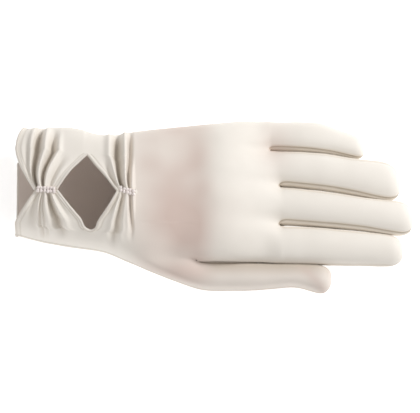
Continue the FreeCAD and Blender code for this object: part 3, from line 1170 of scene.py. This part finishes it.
@dataclass
class WristFan:
    """One wrist piece: two pleated strips that fan out from the bands and join beyond the window."""

    side: Side
    cuff_folds: tuple[Fold, ...]
    hand_folds: tuple[Fold, ...]
    slit_y: float = -6.2
    cuff_neck: tuple[float, float] = (11.5, 22.0)
    hand_neck: tuple[float, float] = (56.0, 66.0)
    window_x: float = 39.0
    window_reach: float = 21.0
    notch: float = 11.5
    notch_reach: float = 24.0
    notch_power: float = 1.6
    corner_round: float = 0.1
    hem_width: float = 2.1
    cuff_columns: int = 84
    hand_columns: int = 64
    rows: int = 104
    flat: tuple[float, float] = (0.052, 0.066)
    normals: np.ndarray = field(default_factory=lambda: np.zeros((0, 3)))

    def name(self) -> str:
        """The piece's name."""
        return "wrist_ulnar_panel" if self.side is Side.ULNAR else "wrist_radial_panel"

    def fold_move(self, folds: tuple[Fold, ...], s: float, r: float) -> tuple[float, float]:
        """Works out the pleats at one place.

        Args:
            folds: the valleys of this strip.
            s: place across the strip, from 0 to 1.
            r: distance from the band.

        Returns:
            The lift above the plain surface and the depth in a valley, in millimetres.
        """
        move = 1.7 * bump(r, 9.0, 9.0) + 0.5 * bump(r, 0.0, 3.0)
        deep = 0.0
        for fold in folds:
            place = fold.near + (fold.far - fold.near) * smooth(-4.0, 22.0, r)
            away = (s - place) / fold.width
            along = (0.35 + 0.65 * smooth(-2.0, 7.0, r)) * (1 - smooth(0.5 * fold.reach, fold.reach, r))
            valley = math.exp(-abs(away) ** 1.5)
            shoulder = math.exp(-(((abs(away) - 2.0) / 1.0) ** 2))
            move += (0.45 * shoulder - valley) * fold.depth * along
            deep = max(deep, valley * fold.depth * along)
        return move, deep

    def build(self, form: ClothForm, hand: HandForm) -> tuple[bpy.types.Object, dict[str, np.ndarray]]:
        """Builds the sheet.

        Args:
            form: the smooth form, before its pieces are cut.
            hand: the hand's sizes, for the middle of each section.

        Returns:
            The single-ply sheet, and its edges as lines of points: cuff and window.
        """
        sign = self.side.value
        names = form.names
        around = ("wrist_form", "hand_back_panel", "palm_panel")
        wanted = [name in around or name.startswith("thumb") for name in names]
        near = [f for f, c in zip(form.faces, form.cloth_of) if wanted[c]]
        tree = BVHTree.FromPolygons([tuple(p) for p in form.points], near)
        cloth = KDTree(len(form.points))
        for k, p in enumerate(form.points):
            cloth.insert(p, k)
        cloth.balance()
        edge = self.seam_line(form, "wrist_form", "palm_panel", sign)
        ring = self.seam_line(form, "wrist_form", "hand_back_panel", 0)
        ring_angle = np.array([self.angle(hand, p) for p in ring])
        order = np.argsort(ring_angle)
        ring, ring_angle = ring[order], ring_angle[order]
        edge = edge[np.argsort(edge[:, 0])]

        def seam_point(x: float) -> np.ndarray:
            """The point of the side seam at a distance from the cuff edge."""
            return np.array([np.interp(x, edge[:, 0], edge[:, c]) for c in range(3)])

        def surface(x: float, phi: float) -> np.ndarray:
            """The cloth's point at a distance from the cuff edge and an angle round the hand.

            Args:
                x: distance from the cuff edge.
                phi: angle from straight up towards +Y.

            Returns:
                The point. Where the form is open, it takes the height and side of the next cloth.
            """
            x = min(max(x, 0.06), 70.0)
            middle, _, top = hand.section(x)
            for step in range(12):
                start = Vector((x + 0.7 * step, middle, top / 2))
                hit = tree.ray_cast(start, Vector((0, math.sin(phi), math.cos(phi))))
                if hit[0]:
                    return np.array([x, hit[0][1], hit[0][2]])
            raise ValueError(f"no cloth at {x}, {phi}")

        columns = self.cuff_columns + self.hand_columns + 2
        grid = np.zeros((self.rows + 1, columns, 3))
        place = np.zeros((self.rows + 1, columns, 3))
        joined = np.zeros(self.rows + 1, bool)
        for j in range(self.rows + 1):
            v = (j / self.rows) ** 0.92
            strips = []
            for x_guess in (16.0, 39.0, 61.0):
                strips.append(self.phi_at(hand, seam_point, x_guess, v))
            y_mid = surface(self.window_x, strips[1])[1]
            share = min(abs(y_mid - self.slit_y) / self.window_reach, 1.0)
            joined[j] = share >= 1.0
            y_cuff = surface(self.cuff_neck[0], strips[0])[1]
            dip = max(1 - abs(y_cuff - self.slit_y) / self.notch_reach, 0.0) ** self.notch_power
            x_edge = self.notch * dip + 0.3 * (1 - dip)
            x_edge += (edge[0, 0] - 0.3) * smooth(0.55, 1.0, v) * (edge[0, 0] > 1.0)
            roundness = self.corner_round * smooth(0.70, 1.0, share)
            closed = 1 - (1 - share) ** (1 - roundness)
            left = self.cuff_neck[1] + (self.window_x - self.cuff_neck[1]) * closed
            right = self.hand_neck[0] + (self.window_x - self.hand_neck[0]) * closed
            belly = 0.9 * math.sin(math.pi * share)
            left -= belly
            right += belly * (1.4 if self.side is Side.RADIAL else 0.3)
            for i in range(columns):
                if i <= self.cuff_columns:
                    s, strip = i / self.cuff_columns, 0
                    x = x_edge + (left - x_edge) * s
                else:
                    s, strip = (i - self.cuff_columns - 1) / self.hand_columns, 1
                    x = right + (self.hand_neck[1] - right) * s
                phi = self.phi_at(hand, seam_point, x, v)
                if strip and s > 0.0:
                    x_ring = float(np.interp(phi, ring_angle, ring[:, 0]))
                    x = right + (x_ring - right) * s
                p = surface(x, phi)
                if strip and s == 1.0:
                    p = np.array([np.interp(phi, ring_angle, ring[:, c]) for c in range(3)])
                if j == self.rows:
                    p = seam_point(x) if x > edge[0, 0] else edge[0]
                grid[j, i] = p
                place[j, i] = (s, strip, v)
        return self.pleat(grid, place, joined, form, cloth)

    def angle(self, hand: HandForm, p: np.ndarray) -> float:
        """The angle of a point around the hand's middle, from straight up towards +Y."""
        middle, _, top = hand.section(p[0])
        return math.atan2(p[1] - middle, p[2] - top / 2)

    def phi_at(self, hand: HandForm, seam_point: Callable[[float], np.ndarray], x: float, v: float) -> float:
        """The angle of a row at a distance from the cuff edge.

        Args:
            hand: the hand's sizes.
            seam_point: gives the side seam at a distance from the cuff edge.
            x: distance from the cuff edge.
            v: share from the neck to the side seam.

        Returns:
            The angle from straight up towards +Y.
        """
        middle, _, top = hand.section(x)
        first = math.atan2(self.slit_y - middle, top / 2)
        last = self.angle(hand, seam_point(x))
        return first + (last - first) * v

    def seam_line(self, form: ClothForm, one: str, other: str, sign: int) -> np.ndarray:
        """The points that two cloths of the form share, on one side of the hand or on both.

        Args:
            form: the smooth form.
            one: the first cloth.
            other: the second.
            sign: 1 or -1 for one side, 0 for both.

        Returns:
            The shared points.
        """
        a = {v for f, c in zip(form.faces, form.cloth_of) if form.names[c] == one for v in f}
        b = {v for f, c in zip(form.faces, form.cloth_of) if form.names[c] == other for v in f}
        points = form.points[sorted(a & b)]
        return points if sign == 0 else points[points[:, 1] * sign > 0]

    def pleat(
        self, grid: np.ndarray, place: np.ndarray, joined: np.ndarray, form: ClothForm, cloth: KDTree
    ) -> tuple[bpy.types.Object, dict[str, np.ndarray]]:
        """Folds the plain sheet into its pleats, paints shade into its seam, valleys and hems, and makes it
        a mesh.

        Args:
            grid: the plain sheet's points, by row and column.
            place: each point's share across its strip, its strip, and its share from neck to side seam.
            joined: the rows beyond the window, where the two strips are one cloth.
            form: the smooth form, for its shading where the sheet meets it.
            cloth: the form's points, for finding the nearest.

        Returns:
            The sheet, and its edges as lines of points.
        """
        rows, columns, _ = grid.shape
        split = self.cuff_columns
        along = np.gradient(grid, axis=0)
        across = np.zeros_like(grid)
        across[:, : split + 1] = np.gradient(grid[:, : split + 1], axis=1)
        across[:, split + 1 :] = np.gradient(grid[:, split + 1 :], axis=1)
        normal = np.cross(across, along) * self.side.value
        normal /= np.maximum(np.linalg.norm(normal, axis=2, keepdims=True), 1e-9)
        step = np.linalg.norm(np.diff(grid, axis=0), axis=2)
        run = np.concatenate([np.zeros((1, columns)), np.cumsum(step, axis=0)])
        crease = np.zeros((rows, columns))
        dusk = np.zeros((rows, columns))
        moved = grid.copy()
        for j in range(rows):
            for i in range(columns):
                s, strip, v = place[j, i]
                folds = self.hand_folds if strip else self.cuff_folds
                r = run[j, i]
                lift, deep = self.fold_move(folds, s, r)
                lift *= 1 - smooth(0.80, 1.0, v)
                groove = math.exp(-(((run[-1, i] - r) / SEAM_WIDTH) ** 2))
                if self.side is Side.ULNAR and not strip:
                    puff = smooth(0.55, 0.85, v) * smooth(0.2, 0.7, s) * (1 - smooth(0.93, 1.0, s))
                    lift += 0.4 * puff * (1 - smooth(0.95, 1.0, v))
                wobble = noise.noise(Vector((grid[j, i][0] / 7, grid[j, i][1] / 9, 3.0)))
                lift += 0.15 * wobble * (1 - smooth(0.9, 1.0, v))
                if strip:
                    lift *= 1 - smooth(0.84, 1.0, s)
                to_window = np.linalg.norm(grid[j, i] - grid[j, split + int(strip)])
                hem = 0.0 if joined[j] else bump(to_window, self.hem_width, 0.4)
                hem = max(hem, bump(np.linalg.norm(grid[j, i] - grid[j, 0]), self.hem_width, 0.4))
                moved[j, i] += normal[j, i] * (lift - SEAM_DEPTH * groove - 0.22 * hem)
                # painted shade in the seam groove, in the pleats' valleys and beside the hems, then the
                # broad painted shade
                crease[j, i] = max(0.5 * groove**1.5, 0.2 * deep * (1 - smooth(0.7, 1.0, v)), 0.4 * hem)
                dusk[j, i] = painted_shade_at(*grid[j, i])
        moved[:, split][joined] = (moved[:, split][joined] + moved[:, split + 1][joined]) / 2
        moved[:, split + 1][joined] = moved[:, split][joined]
        index = np.arange(rows * columns).reshape(rows, columns)
        for j in range(rows):
            if joined[j]:
                index[j, split + 1] = index[j, split]
        faces = []
        for j in range(rows - 1):
            for i in range(columns - 1):
                if i == split:
                    continue
                a, b, c, d = index[j, i], index[j, i + 1], index[j + 1, i + 1], index[j + 1, i]
                corner = [int(a), int(b), int(c), int(d)]
                corner = [v for k, v in enumerate(corner) if v != corner[k - 1]]
                if len(corner) > 2:
                    faces.append(tuple(corner if self.side is Side.ULNAR else corner[::-1]))
        used = sorted({v for f in faces for v in f})
        remap = {v: k for k, v in enumerate(used)}
        flat_points = moved.reshape(-1, 3)[used]
        self.normals = self.shading(moved, place, form, cloth).reshape(-1, 3)[used]
        item = cloth_object(
            self.name(),
            flat_points,
            [tuple(remap[v] for v in f) for f in faces],
            {"crease": crease.reshape(-1)[used], "dusk": dusk.reshape(-1)[used]},
        )
        last_open = int(np.flatnonzero(joined)[0])
        window = np.concatenate([moved[: last_open + 1, split], moved[: last_open + 1, split + 1][::-1]])
        return item, {"cuff": moved[:, 0], "window": window}

    def shading(self, moved: np.ndarray, place: np.ndarray, form: ClothForm, cloth: KDTree) -> np.ndarray:
        """The direction of the folded cloth at each point, running on into the form's where they meet.

        Args:
            moved: the folded sheet's points.
            place: each point's share across its strip, its strip, and its share to the side seam.
            form: the smooth form.
            cloth: the form's points, for finding the nearest.

        Returns:
            The directions, by row and column.
        """
        rows, columns, _ = moved.shape
        split = self.cuff_columns
        along = np.gradient(moved, axis=0)
        across = np.gradient(moved, axis=1)
        for edge, inner in ((split, split - 1), (split + 1, split + 2)):
            across[:, edge] = (moved[:, edge] - moved[:, inner]) * (1 if inner < edge else -1)
        made = np.cross(across, along) * self.side.value
        shut = np.linalg.norm(moved[:, split] - moved[:, split + 1], axis=1) < 1e-6
        made[shut, split] = made[shut, split + 1] = made[shut, split] + made[shut, split + 1]
        made /= np.maximum(np.linalg.norm(made, axis=2, keepdims=True), 1e-9)
        for j in range(rows):
            for i in range(columns):
                s, strip, v = place[j, i]
                share = max(smooth(0.93, 1.0, s) if strip else 0.0, smooth(0.985, 1.0, v))
                if share > 0:
                    smooth_cloth = form.normals[cloth.find(moved[j, i])[1]]
                    made[j, i] = made[j, i] * (1 - share) + smooth_cloth * share
        return made / np.maximum(np.linalg.norm(made, axis=2, keepdims=True), 1e-9)


# ------------------------------------------------------------------ rolled edges, bands and beads
def tidy_line(points: np.ndarray, spacing: float) -> np.ndarray:
    """A line of points spaced evenly, about the given distance apart.

    Args:
        points: the line.
        spacing: the distance, in millimetres.

    Returns:
        The new line.
    """
    step = np.linalg.norm(np.diff(points, axis=0), axis=1)
    keep = np.concatenate([[True], step > 1e-6])
    points = points[keep]
    run = np.concatenate([[0], np.cumsum(np.linalg.norm(np.diff(points, axis=0), axis=1))])
    at = np.linspace(0, run[-1], max(int(run[-1] / spacing), 4))
    return np.stack([np.interp(at, run, points[:, c]) for c in range(3)], axis=1)


@dataclass(frozen=True)
class RolledEdge:
    """A narrow rolled hem that follows an edge of the cloth, with shade painted on one side of the roll."""

    name: str
    radius: float = 0.82
    sides: int = 10
    spacing: float = 0.5

    def build(self, lines: list[np.ndarray]) -> bpy.types.Object:
        """Builds the hem along one or more lines of points, in glove millimetres.

        Args:
            lines: the edges to follow.

        Returns:
            The hem.
        """
        points: list[np.ndarray] = []
        faces: list[tuple[int, ...]] = []
        crease: list[float] = []
        for line in lines:
            line = tidy_line(line, self.spacing)
            for _ in range(3):
                line[1:-1] = (line[:-2] + 2 * line[1:-1] + line[2:]) / 4
            direction = np.gradient(line, axis=0)
            direction /= np.maximum(np.linalg.norm(direction, axis=1, keepdims=True), 1e-9)
            start = len(points)
            for k, p in enumerate(line):
                out = np.cross(direction[k], (0.0, 0.0, 1.0))
                out /= max(np.linalg.norm(out), 1e-9)
                up = np.cross(out, direction[k])
                size = self.radius * (1 + 0.12 * noise.noise(Vector(p / 2.5)))
                size *= 0.55 if k in (0, len(line) - 1) else 1.0
                for a in range(self.sides):
                    turn = 2 * math.pi * a / self.sides
                    points.append(p + out * math.cos(turn) * size + up * math.sin(turn) * size * 0.8)
                    # painted shade: darkest on one side of the roll, none on the other
                    crease.append(0.25 + 0.25 * math.cos(turn))
            for k in range(len(line) - 1):
                for a in range(self.sides):
                    b = (a + 1) % self.sides
                    i, j = start + k * self.sides, start + (k + 1) * self.sides
                    faces.append((i + a, i + b, j + b, j + a))
            last = start + (len(line) - 1) * self.sides
            faces.append(tuple(start + a for a in reversed(range(self.sides))))
            faces.append(tuple(last + a for a in range(self.sides)))
        item = cloth_object(self.name, np.array(points), faces, {"crease": np.array(crease)})
        mesh = bmesh.new()
        mesh.from_mesh(item.data)
        bmesh.ops.recalc_face_normals(mesh, faces=mesh.faces)
        mesh.to_mesh(item.data)
        mesh.free()
        return item


@dataclass(frozen=True)
class BeadedBand:
    """A short satin loop round a gather, with two rows of seed beads on top."""

    name: str
    tilt: float = 0.0
    seed: int = 1
    pitch: float = 1.75
    ring_radius: float = 0.56
    wall_radius: float = 0.50
    stretch: float = 1.62
    stray: float = 0.16

    def loop(self) -> bpy.types.Object:
        """The satin loop, modelled as a rounded, slightly puckered tube section.

        Returns:
            The loop.
        """
        low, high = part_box(f"{self.name}_gather_loop")
        middle, size = (low + high) / 2, high - low
        deselect()
        bpy.ops.mesh.primitive_cylinder_add(
            vertices=28,
            radius=0.5,
            depth=1.0,
            end_fill_type="NOTHING",
            location=middle,
            rotation=(math.pi / 2, 0, 0),
            scale=(size.x * 0.98, size.z * 0.98, size.y),
        )
        item = bpy.context.object
        item.name = f"{self.name}_gather_loop_cloth"
        bpy.ops.object.transform_apply(location=True, rotation=True, scale=True)
        bpy.ops.object.mode_set(mode="EDIT")
        bpy.ops.mesh.select_all(action="SELECT")
        bpy.ops.mesh.subdivide(number_cuts=3)
        bpy.ops.object.mode_set(mode="OBJECT")
        for vertex in item.data.vertices:
            p = vertex.co
            share = (p.y - middle.y) / (size.y / 2)
            pucker = 1 - 0.10 * share * share + 0.03 * noise.noise(p * 900)
            vertex.co.x = middle.x + (p.x - middle.x) * pucker
            vertex.co.z = middle.z + (p.z - middle.z) * pucker
        solid = item.modifiers.new("Thickness", "SOLIDIFY")
        solid.thickness = 0.5 * MM
        solid.offset = -1
        rounder = item.modifiers.new("Smooth", "SUBSURF")
        rounder.levels = rounder.render_levels = 1
        apply_modifiers(item)
        bpy.ops.object.shade_smooth()
        return item

    def beads(self) -> bpy.types.Object:
        """Two rows of seed beads, each a little turned and out of line.

        Returns:
            The beads, joined as one object.
        """
        low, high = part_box(f"{self.name}_beads")
        rows, across = 2, round((high.x - low.x) / (self.pitch * MM))
        pitch = (high.x - low.x) / across
        deselect()
        bpy.ops.mesh.primitive_torus_add(
            major_segments=18,
            minor_segments=12,
            major_radius=self.ring_radius * MM,
            minor_radius=self.wall_radius * MM,
            location=(0, 0, 0),
        )
        pattern = bpy.context.object
        bpy.ops.object.mode_set(mode="EDIT")
        bpy.ops.mesh.select_all(action="SELECT")
        bpy.ops.transform.resize(value=(1.0, 1.0, self.stretch))
        bpy.ops.object.mode_set(mode="OBJECT")
        bpy.ops.object.shade_smooth()
        made = []
        random = np.random.default_rng(self.seed)
        for row in range(rows):
            for k in range(across):
                copy = pattern.copy()
                copy.data = pattern.data.copy()
                bpy.context.scene.collection.objects.link(copy)
                x = low.x + pitch * (k + 0.5)
                y = low.y + (high.y - low.y) * (0.25 + 0.5 * row)
                jitter = random.uniform(-self.stray, self.stray, 3) * MM
                drop = -self.tilt * (x - (low.x + high.x) / 2)
                z = (low.z + high.z) / 2 - 0.15 * MM
                copy.location = (x + jitter[0], y + jitter[1] + drop, z + jitter[2])
                copy.rotation_euler = (
                    random.uniform(-0.3, 0.3),
                    math.pi / 2 + random.uniform(-0.35, 0.35),
                    random.uniform(-0.4, 0.4),
                )
                size = random.uniform(0.92, 1.08)
                copy.scale = (size, size, size)
                made.append(copy)
        bpy.data.objects.remove(pattern)
        deselect()
        for item in made:
            item.select_set(True)
        bpy.context.view_layer.objects.active = made[0]
        bpy.ops.object.join()
        item = bpy.context.object
        item.name = f"{self.name}_seed_beads"
        bpy.ops.object.transform_apply(location=True, rotation=True, scale=True)
        return item

    def build(self) -> list[bpy.types.Object]:
        """Builds and dresses the band, and puts it on the hand.

        Returns:
            The loop and the beads.
        """
        loop, beads = self.loop(), self.beads()
        loop.data.materials.append(ROLLED.material())
        beads.data.materials.append(PEARL.material())
        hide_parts(f"{self.name}_gather_loop")
        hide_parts(f"{self.name}_beads")
        for item in (loop, beads):
            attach(item, "hand")
        return [loop, beads]


# ------------------------------------------------------------------ the glove
def dress(item: bpy.types.Object, finish: Satin) -> None:
    """Gives a piece its finish as its only material.

    Args:
        item: the piece.
        finish: its cloth.
    """
    item.data.materials.clear()
    item.data.materials.append(finish.material())
    item.data.polygons.foreach_set("material_index", [0] * len(item.data.polygons))


@dataclass
class Glove:
    """The whole glove: builds its form, cuts and dresses its pieces, and joins the back, palm, wrist pieces,
    hems and bands to the hand's body.
    """

    ply: float = 0.55
    gusset_width: float = 0.0115
    bend_reach: float = 18.0
    hand: HandForm = field(default_factory=HandForm)
    form: ClothForm = field(default_factory=ClothForm)
    stalls: list[Stall] = field(default_factory=finger_stalls)
    thumb: Stall = THUMB

    def build_form(self) -> None:
        """Shapes the smooth form with its creases."""
        cage = self.hand.build(self.stalls, self.thumb)
        self.form.smooth_cage(cage, 3)
        self.form.crease_cloth(self.stalls)
        LOG.info("form: %d points", len(self.form.points))

    def finish_cloth(
        self, item: bpy.types.Object, name: str, normals: np.ndarray, finish: Satin
    ) -> None:
        """Gives a single-ply sheet its name, thickness, shading and finish, and reports it.

        Args:
            item: the sheet.
            name: the node it stands for.
            normals: the direction of the whole cloth at each of its points.
            finish: its cloth.
        """
        item.name = f"{name}_cloth"
        thicken(item, self.ply)
        shadow_inside(item, len(normals))
        shade_like(item, normals)
        dress(item, finish)
        area = sum(p.area for p in item.data.polygons) / 2 * 1e6
        LOG.info("%s: %d faces, %.0f square mm", item.name, len(item.data.polygons), area)

    def cut_piece(self, name: str, finish: Satin) -> bpy.types.Object:
        """Cuts one piece out of the form, gives it a ply's thickness and dresses it.

        Args:
            name: the node it stands for.
            finish: its cloth.

        Returns:
            The piece.
        """
        item, normals = self.form.cut(name)
        self.finish_cloth(item, name, normals, finish)
        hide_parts(name)
        return item

    def build_hand(self) -> None:
        """The back and the palm."""
        back = self.cut_piece("hand_back_panel", OUTER)
        palm = self.cut_piece("palm_panel", OUTER)
        for item in (back, palm):
            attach(item, "hand")

    def build_stalls(self) -> None:
        """The finger stalls and the thumb, cut out of the form."""
        for stall in self.stalls:
            end = LAYOUT.spot(stall.root_x + self.bend_reach, stall.middle(self.bend_reach), 0.0)
            for name in stall.pieces():
                gusset = "fourchette" in name
                item = self.cut_piece(name, SHADED_GUSSET if gusset else OUTER)
                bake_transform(item)
        end = LAYOUT.spot(112.0, -59.0, 9.0)
        for name in self.thumb.pieces():
            item = self.cut_piece(name, OUTER)
            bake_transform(item)

    def build_wrist(self) -> None:
        """The two fanned wrist pieces, their rolled edges and the beaded bands."""
        fans = [
            WristFan(
                Side.ULNAR,
                (
                    Fold(0.04, 0.16, 1.2, 0.045, 40),
                    Fold(0.14, 0.29, 4.4, 0.048, 56),
                    Fold(0.38, 0.51, 4.0, 0.044, 42),
                    Fold(0.68, 0.73, 1.3, 0.06, 24),
                ),
                (
                    Fold(0.06, 0.25, 1.0, 0.08, 24),
                    Fold(0.28, 0.60, 4.2, 0.08, 56),
                    Fold(0.62, 0.86, 2.8, 0.06, 50),
                ),
            ),
            WristFan(
                Side.RADIAL,
                (
                    Fold(0.08, 0.24, 1.3, 0.07, 26),
                    Fold(0.30, 0.36, 1.5, 0.022, 40),
                    Fold(0.36, 0.42, 1.0, 0.02, 38),
                    Fold(0.56, 0.62, 3.6, 0.06, 32),
                    Fold(0.82, 0.84, 0.6, 0.05, 20),
                ),
                (
                    Fold(0.08, 0.14, 0.7, 0.06, 18),
                    Fold(0.3, 0.5, 2.6, 0.075, 36),
                    Fold(0.66, 0.9, 2.2, 0.06, 30),
                ),
                window_x=41.0,
                window_reach=21.3,
                flat=(0.044, 0.06),
                notch_reach=17.5,
                notch_power=1.2,
                corner_round=0.42,
            ),
        ]
        edges = {}
        for fan in fans:
            item, lines = fan.build(self.form, self.hand)
            edges[fan.side] = lines
            name = fan.name()
            self.finish_cloth(item, name, fan.normals, OUTER)
            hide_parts(name)
            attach(item, "hand")
        inward = np.array([0.0, 0.0, -0.25])
        window = RolledEdge("window_rolled_hem").build([e["window"] + inward for e in edges.values()])
        dress(window, ROLLED)
        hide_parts("window_facing")
        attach(window, "hand")
        ring = self.palm_cuff_edge()
        lines = [edges[Side.ULNAR]["cuff"] + inward, edges[Side.RADIAL]["cuff"] + inward, ring]
        cuff = RolledEdge("cuff_rolled_hem").build(lines)
        dress(cuff, ROLLED)
        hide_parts("cuff_hem")
        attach(cuff, "hand")
        for band in (BeadedBand("cuff", 0.06, 3), BeadedBand("hand", 0.28, 8)):
            for item in band.build():
                LOG.info("%s: %d faces", item.name, len(item.data.polygons))
            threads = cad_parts[f"{band.name}_bead_threads"]
            threads.data.materials.clear()
            threads.data.materials.append(YARN.material())

    def palm_cuff_edge(self) -> np.ndarray:
        """The palm's edge at the cuff, from the ulnar side round to the thumb side.

        Returns:
            The edge, as a line of points.
        """
        near = self.form.points[:, 0] < 0.05
        low = self.form.points[near]
        middle, _, top = self.hand.section(0.0)
        angle = np.array([math.atan2(p[1] - middle, top / 2 - p[2]) for p in low])
        keep = np.abs(angle) < math.pi / 2 + 0.03
        order = np.argsort(angle[keep])
        return low[keep][order]

    def build(self) -> None:
        """Builds every piece."""
        self.build_form()
        self.form.sink_seams(SEAM_DEPTH, SEAM_WIDTH)
        self.build_hand()
        self.build_stalls()
        self.build_wrist()


@dataclass(frozen=True)
class Studio:
    """A pale floor, soft studio light, and a camera that looks down on the back of the hand."""

    elevation: float = 75.5
    distance: float = 3.0
    width: float = 0.231

    def floor(self) -> None:
        """A large plain floor."""
        deselect()
        bpy.ops.mesh.primitive_plane_add(size=6.0, location=(0, 0, CAD_BOX[0].z - 0.0002))
        plane = bpy.context.object
        plane.name = "floor"
        made = bpy.data.materials.new("pale floor")
        made.use_nodes = True
        surface = made.node_tree.nodes["Principled BSDF"]
        surface.inputs["Base Color"].default_value = (0.93, 0.93, 0.93, 1)
        surface.inputs["Roughness"].default_value = 0.9
        surface.inputs["Emission Color"].default_value = (1, 1, 1, 1)
        surface.inputs["Emission Strength"].default_value = 0.5
        plane.data.materials.append(made)

    def light(self, name: str, place: tuple[float, float, float], size: float, energy: float) -> None:
        """One square area light aimed at the glove.

        Args:
            name: the light's name.
            place: where it stands, in metres.
            size: length of its side, in metres.
            energy: its power, in watts.
        """
        data = bpy.data.lights.new(name, "AREA")
        data.size = size
        data.energy = energy
        lamp = bpy.data.objects.new(name, data)
        lamp.location = place
        lamp.rotation_euler = (-Vector(place)).to_track_quat("-Z", "Y").to_euler()
        bpy.context.scene.collection.objects.link(lamp)

    def camera(self) -> None:
        """The camera, on the axis that looks along +Y and down."""
        data = bpy.data.cameras.new("camera")
        data.sensor_width = 36.0
        data.lens = 36.0 * self.distance / self.width
        camera = bpy.data.objects.new("camera", data)
        angle = math.radians(self.elevation)
        back = Vector((0, -math.cos(angle), math.sin(angle)))
        target = LAYOUT.spot(106.15, -9.0, 15.0)
        camera.location = target + back * self.distance
        camera.rotation_mode = "QUATERNION"
        camera.rotation_quaternion = (-back).to_track_quat("-Z", "Y")
        bpy.context.scene.collection.objects.link(camera)
        bpy.context.scene.camera = camera

    def build(self) -> None:
        """Sets up the floor, lights, world and camera."""
        self.floor()
        self.light("key", (0.82, 0.5, 0.62), 0.35, 8.1)
        self.light("fill", (-0.4, -0.7, 0.75), 0.9, 2.0)
        world = bpy.data.worlds.new("studio")
        world.use_nodes = True
        world.node_tree.nodes["Background"].inputs[0].default_value = (1.0, 0.985, 0.965, 1)
        world.node_tree.nodes["Background"].inputs[1].default_value = 0.47
        bpy.context.scene.world = world
        bpy.context.scene.view_settings.view_transform = "Standard"
        self.camera()


def main() -> None:
    """Builds the glove in its studio."""
    logging.basicConfig(level=logging.INFO, format="%(name)s: %(message)s", stream=sys.stdout)
    Glove().build()
    Studio().build()


if __name__ == "__main__":
    main()
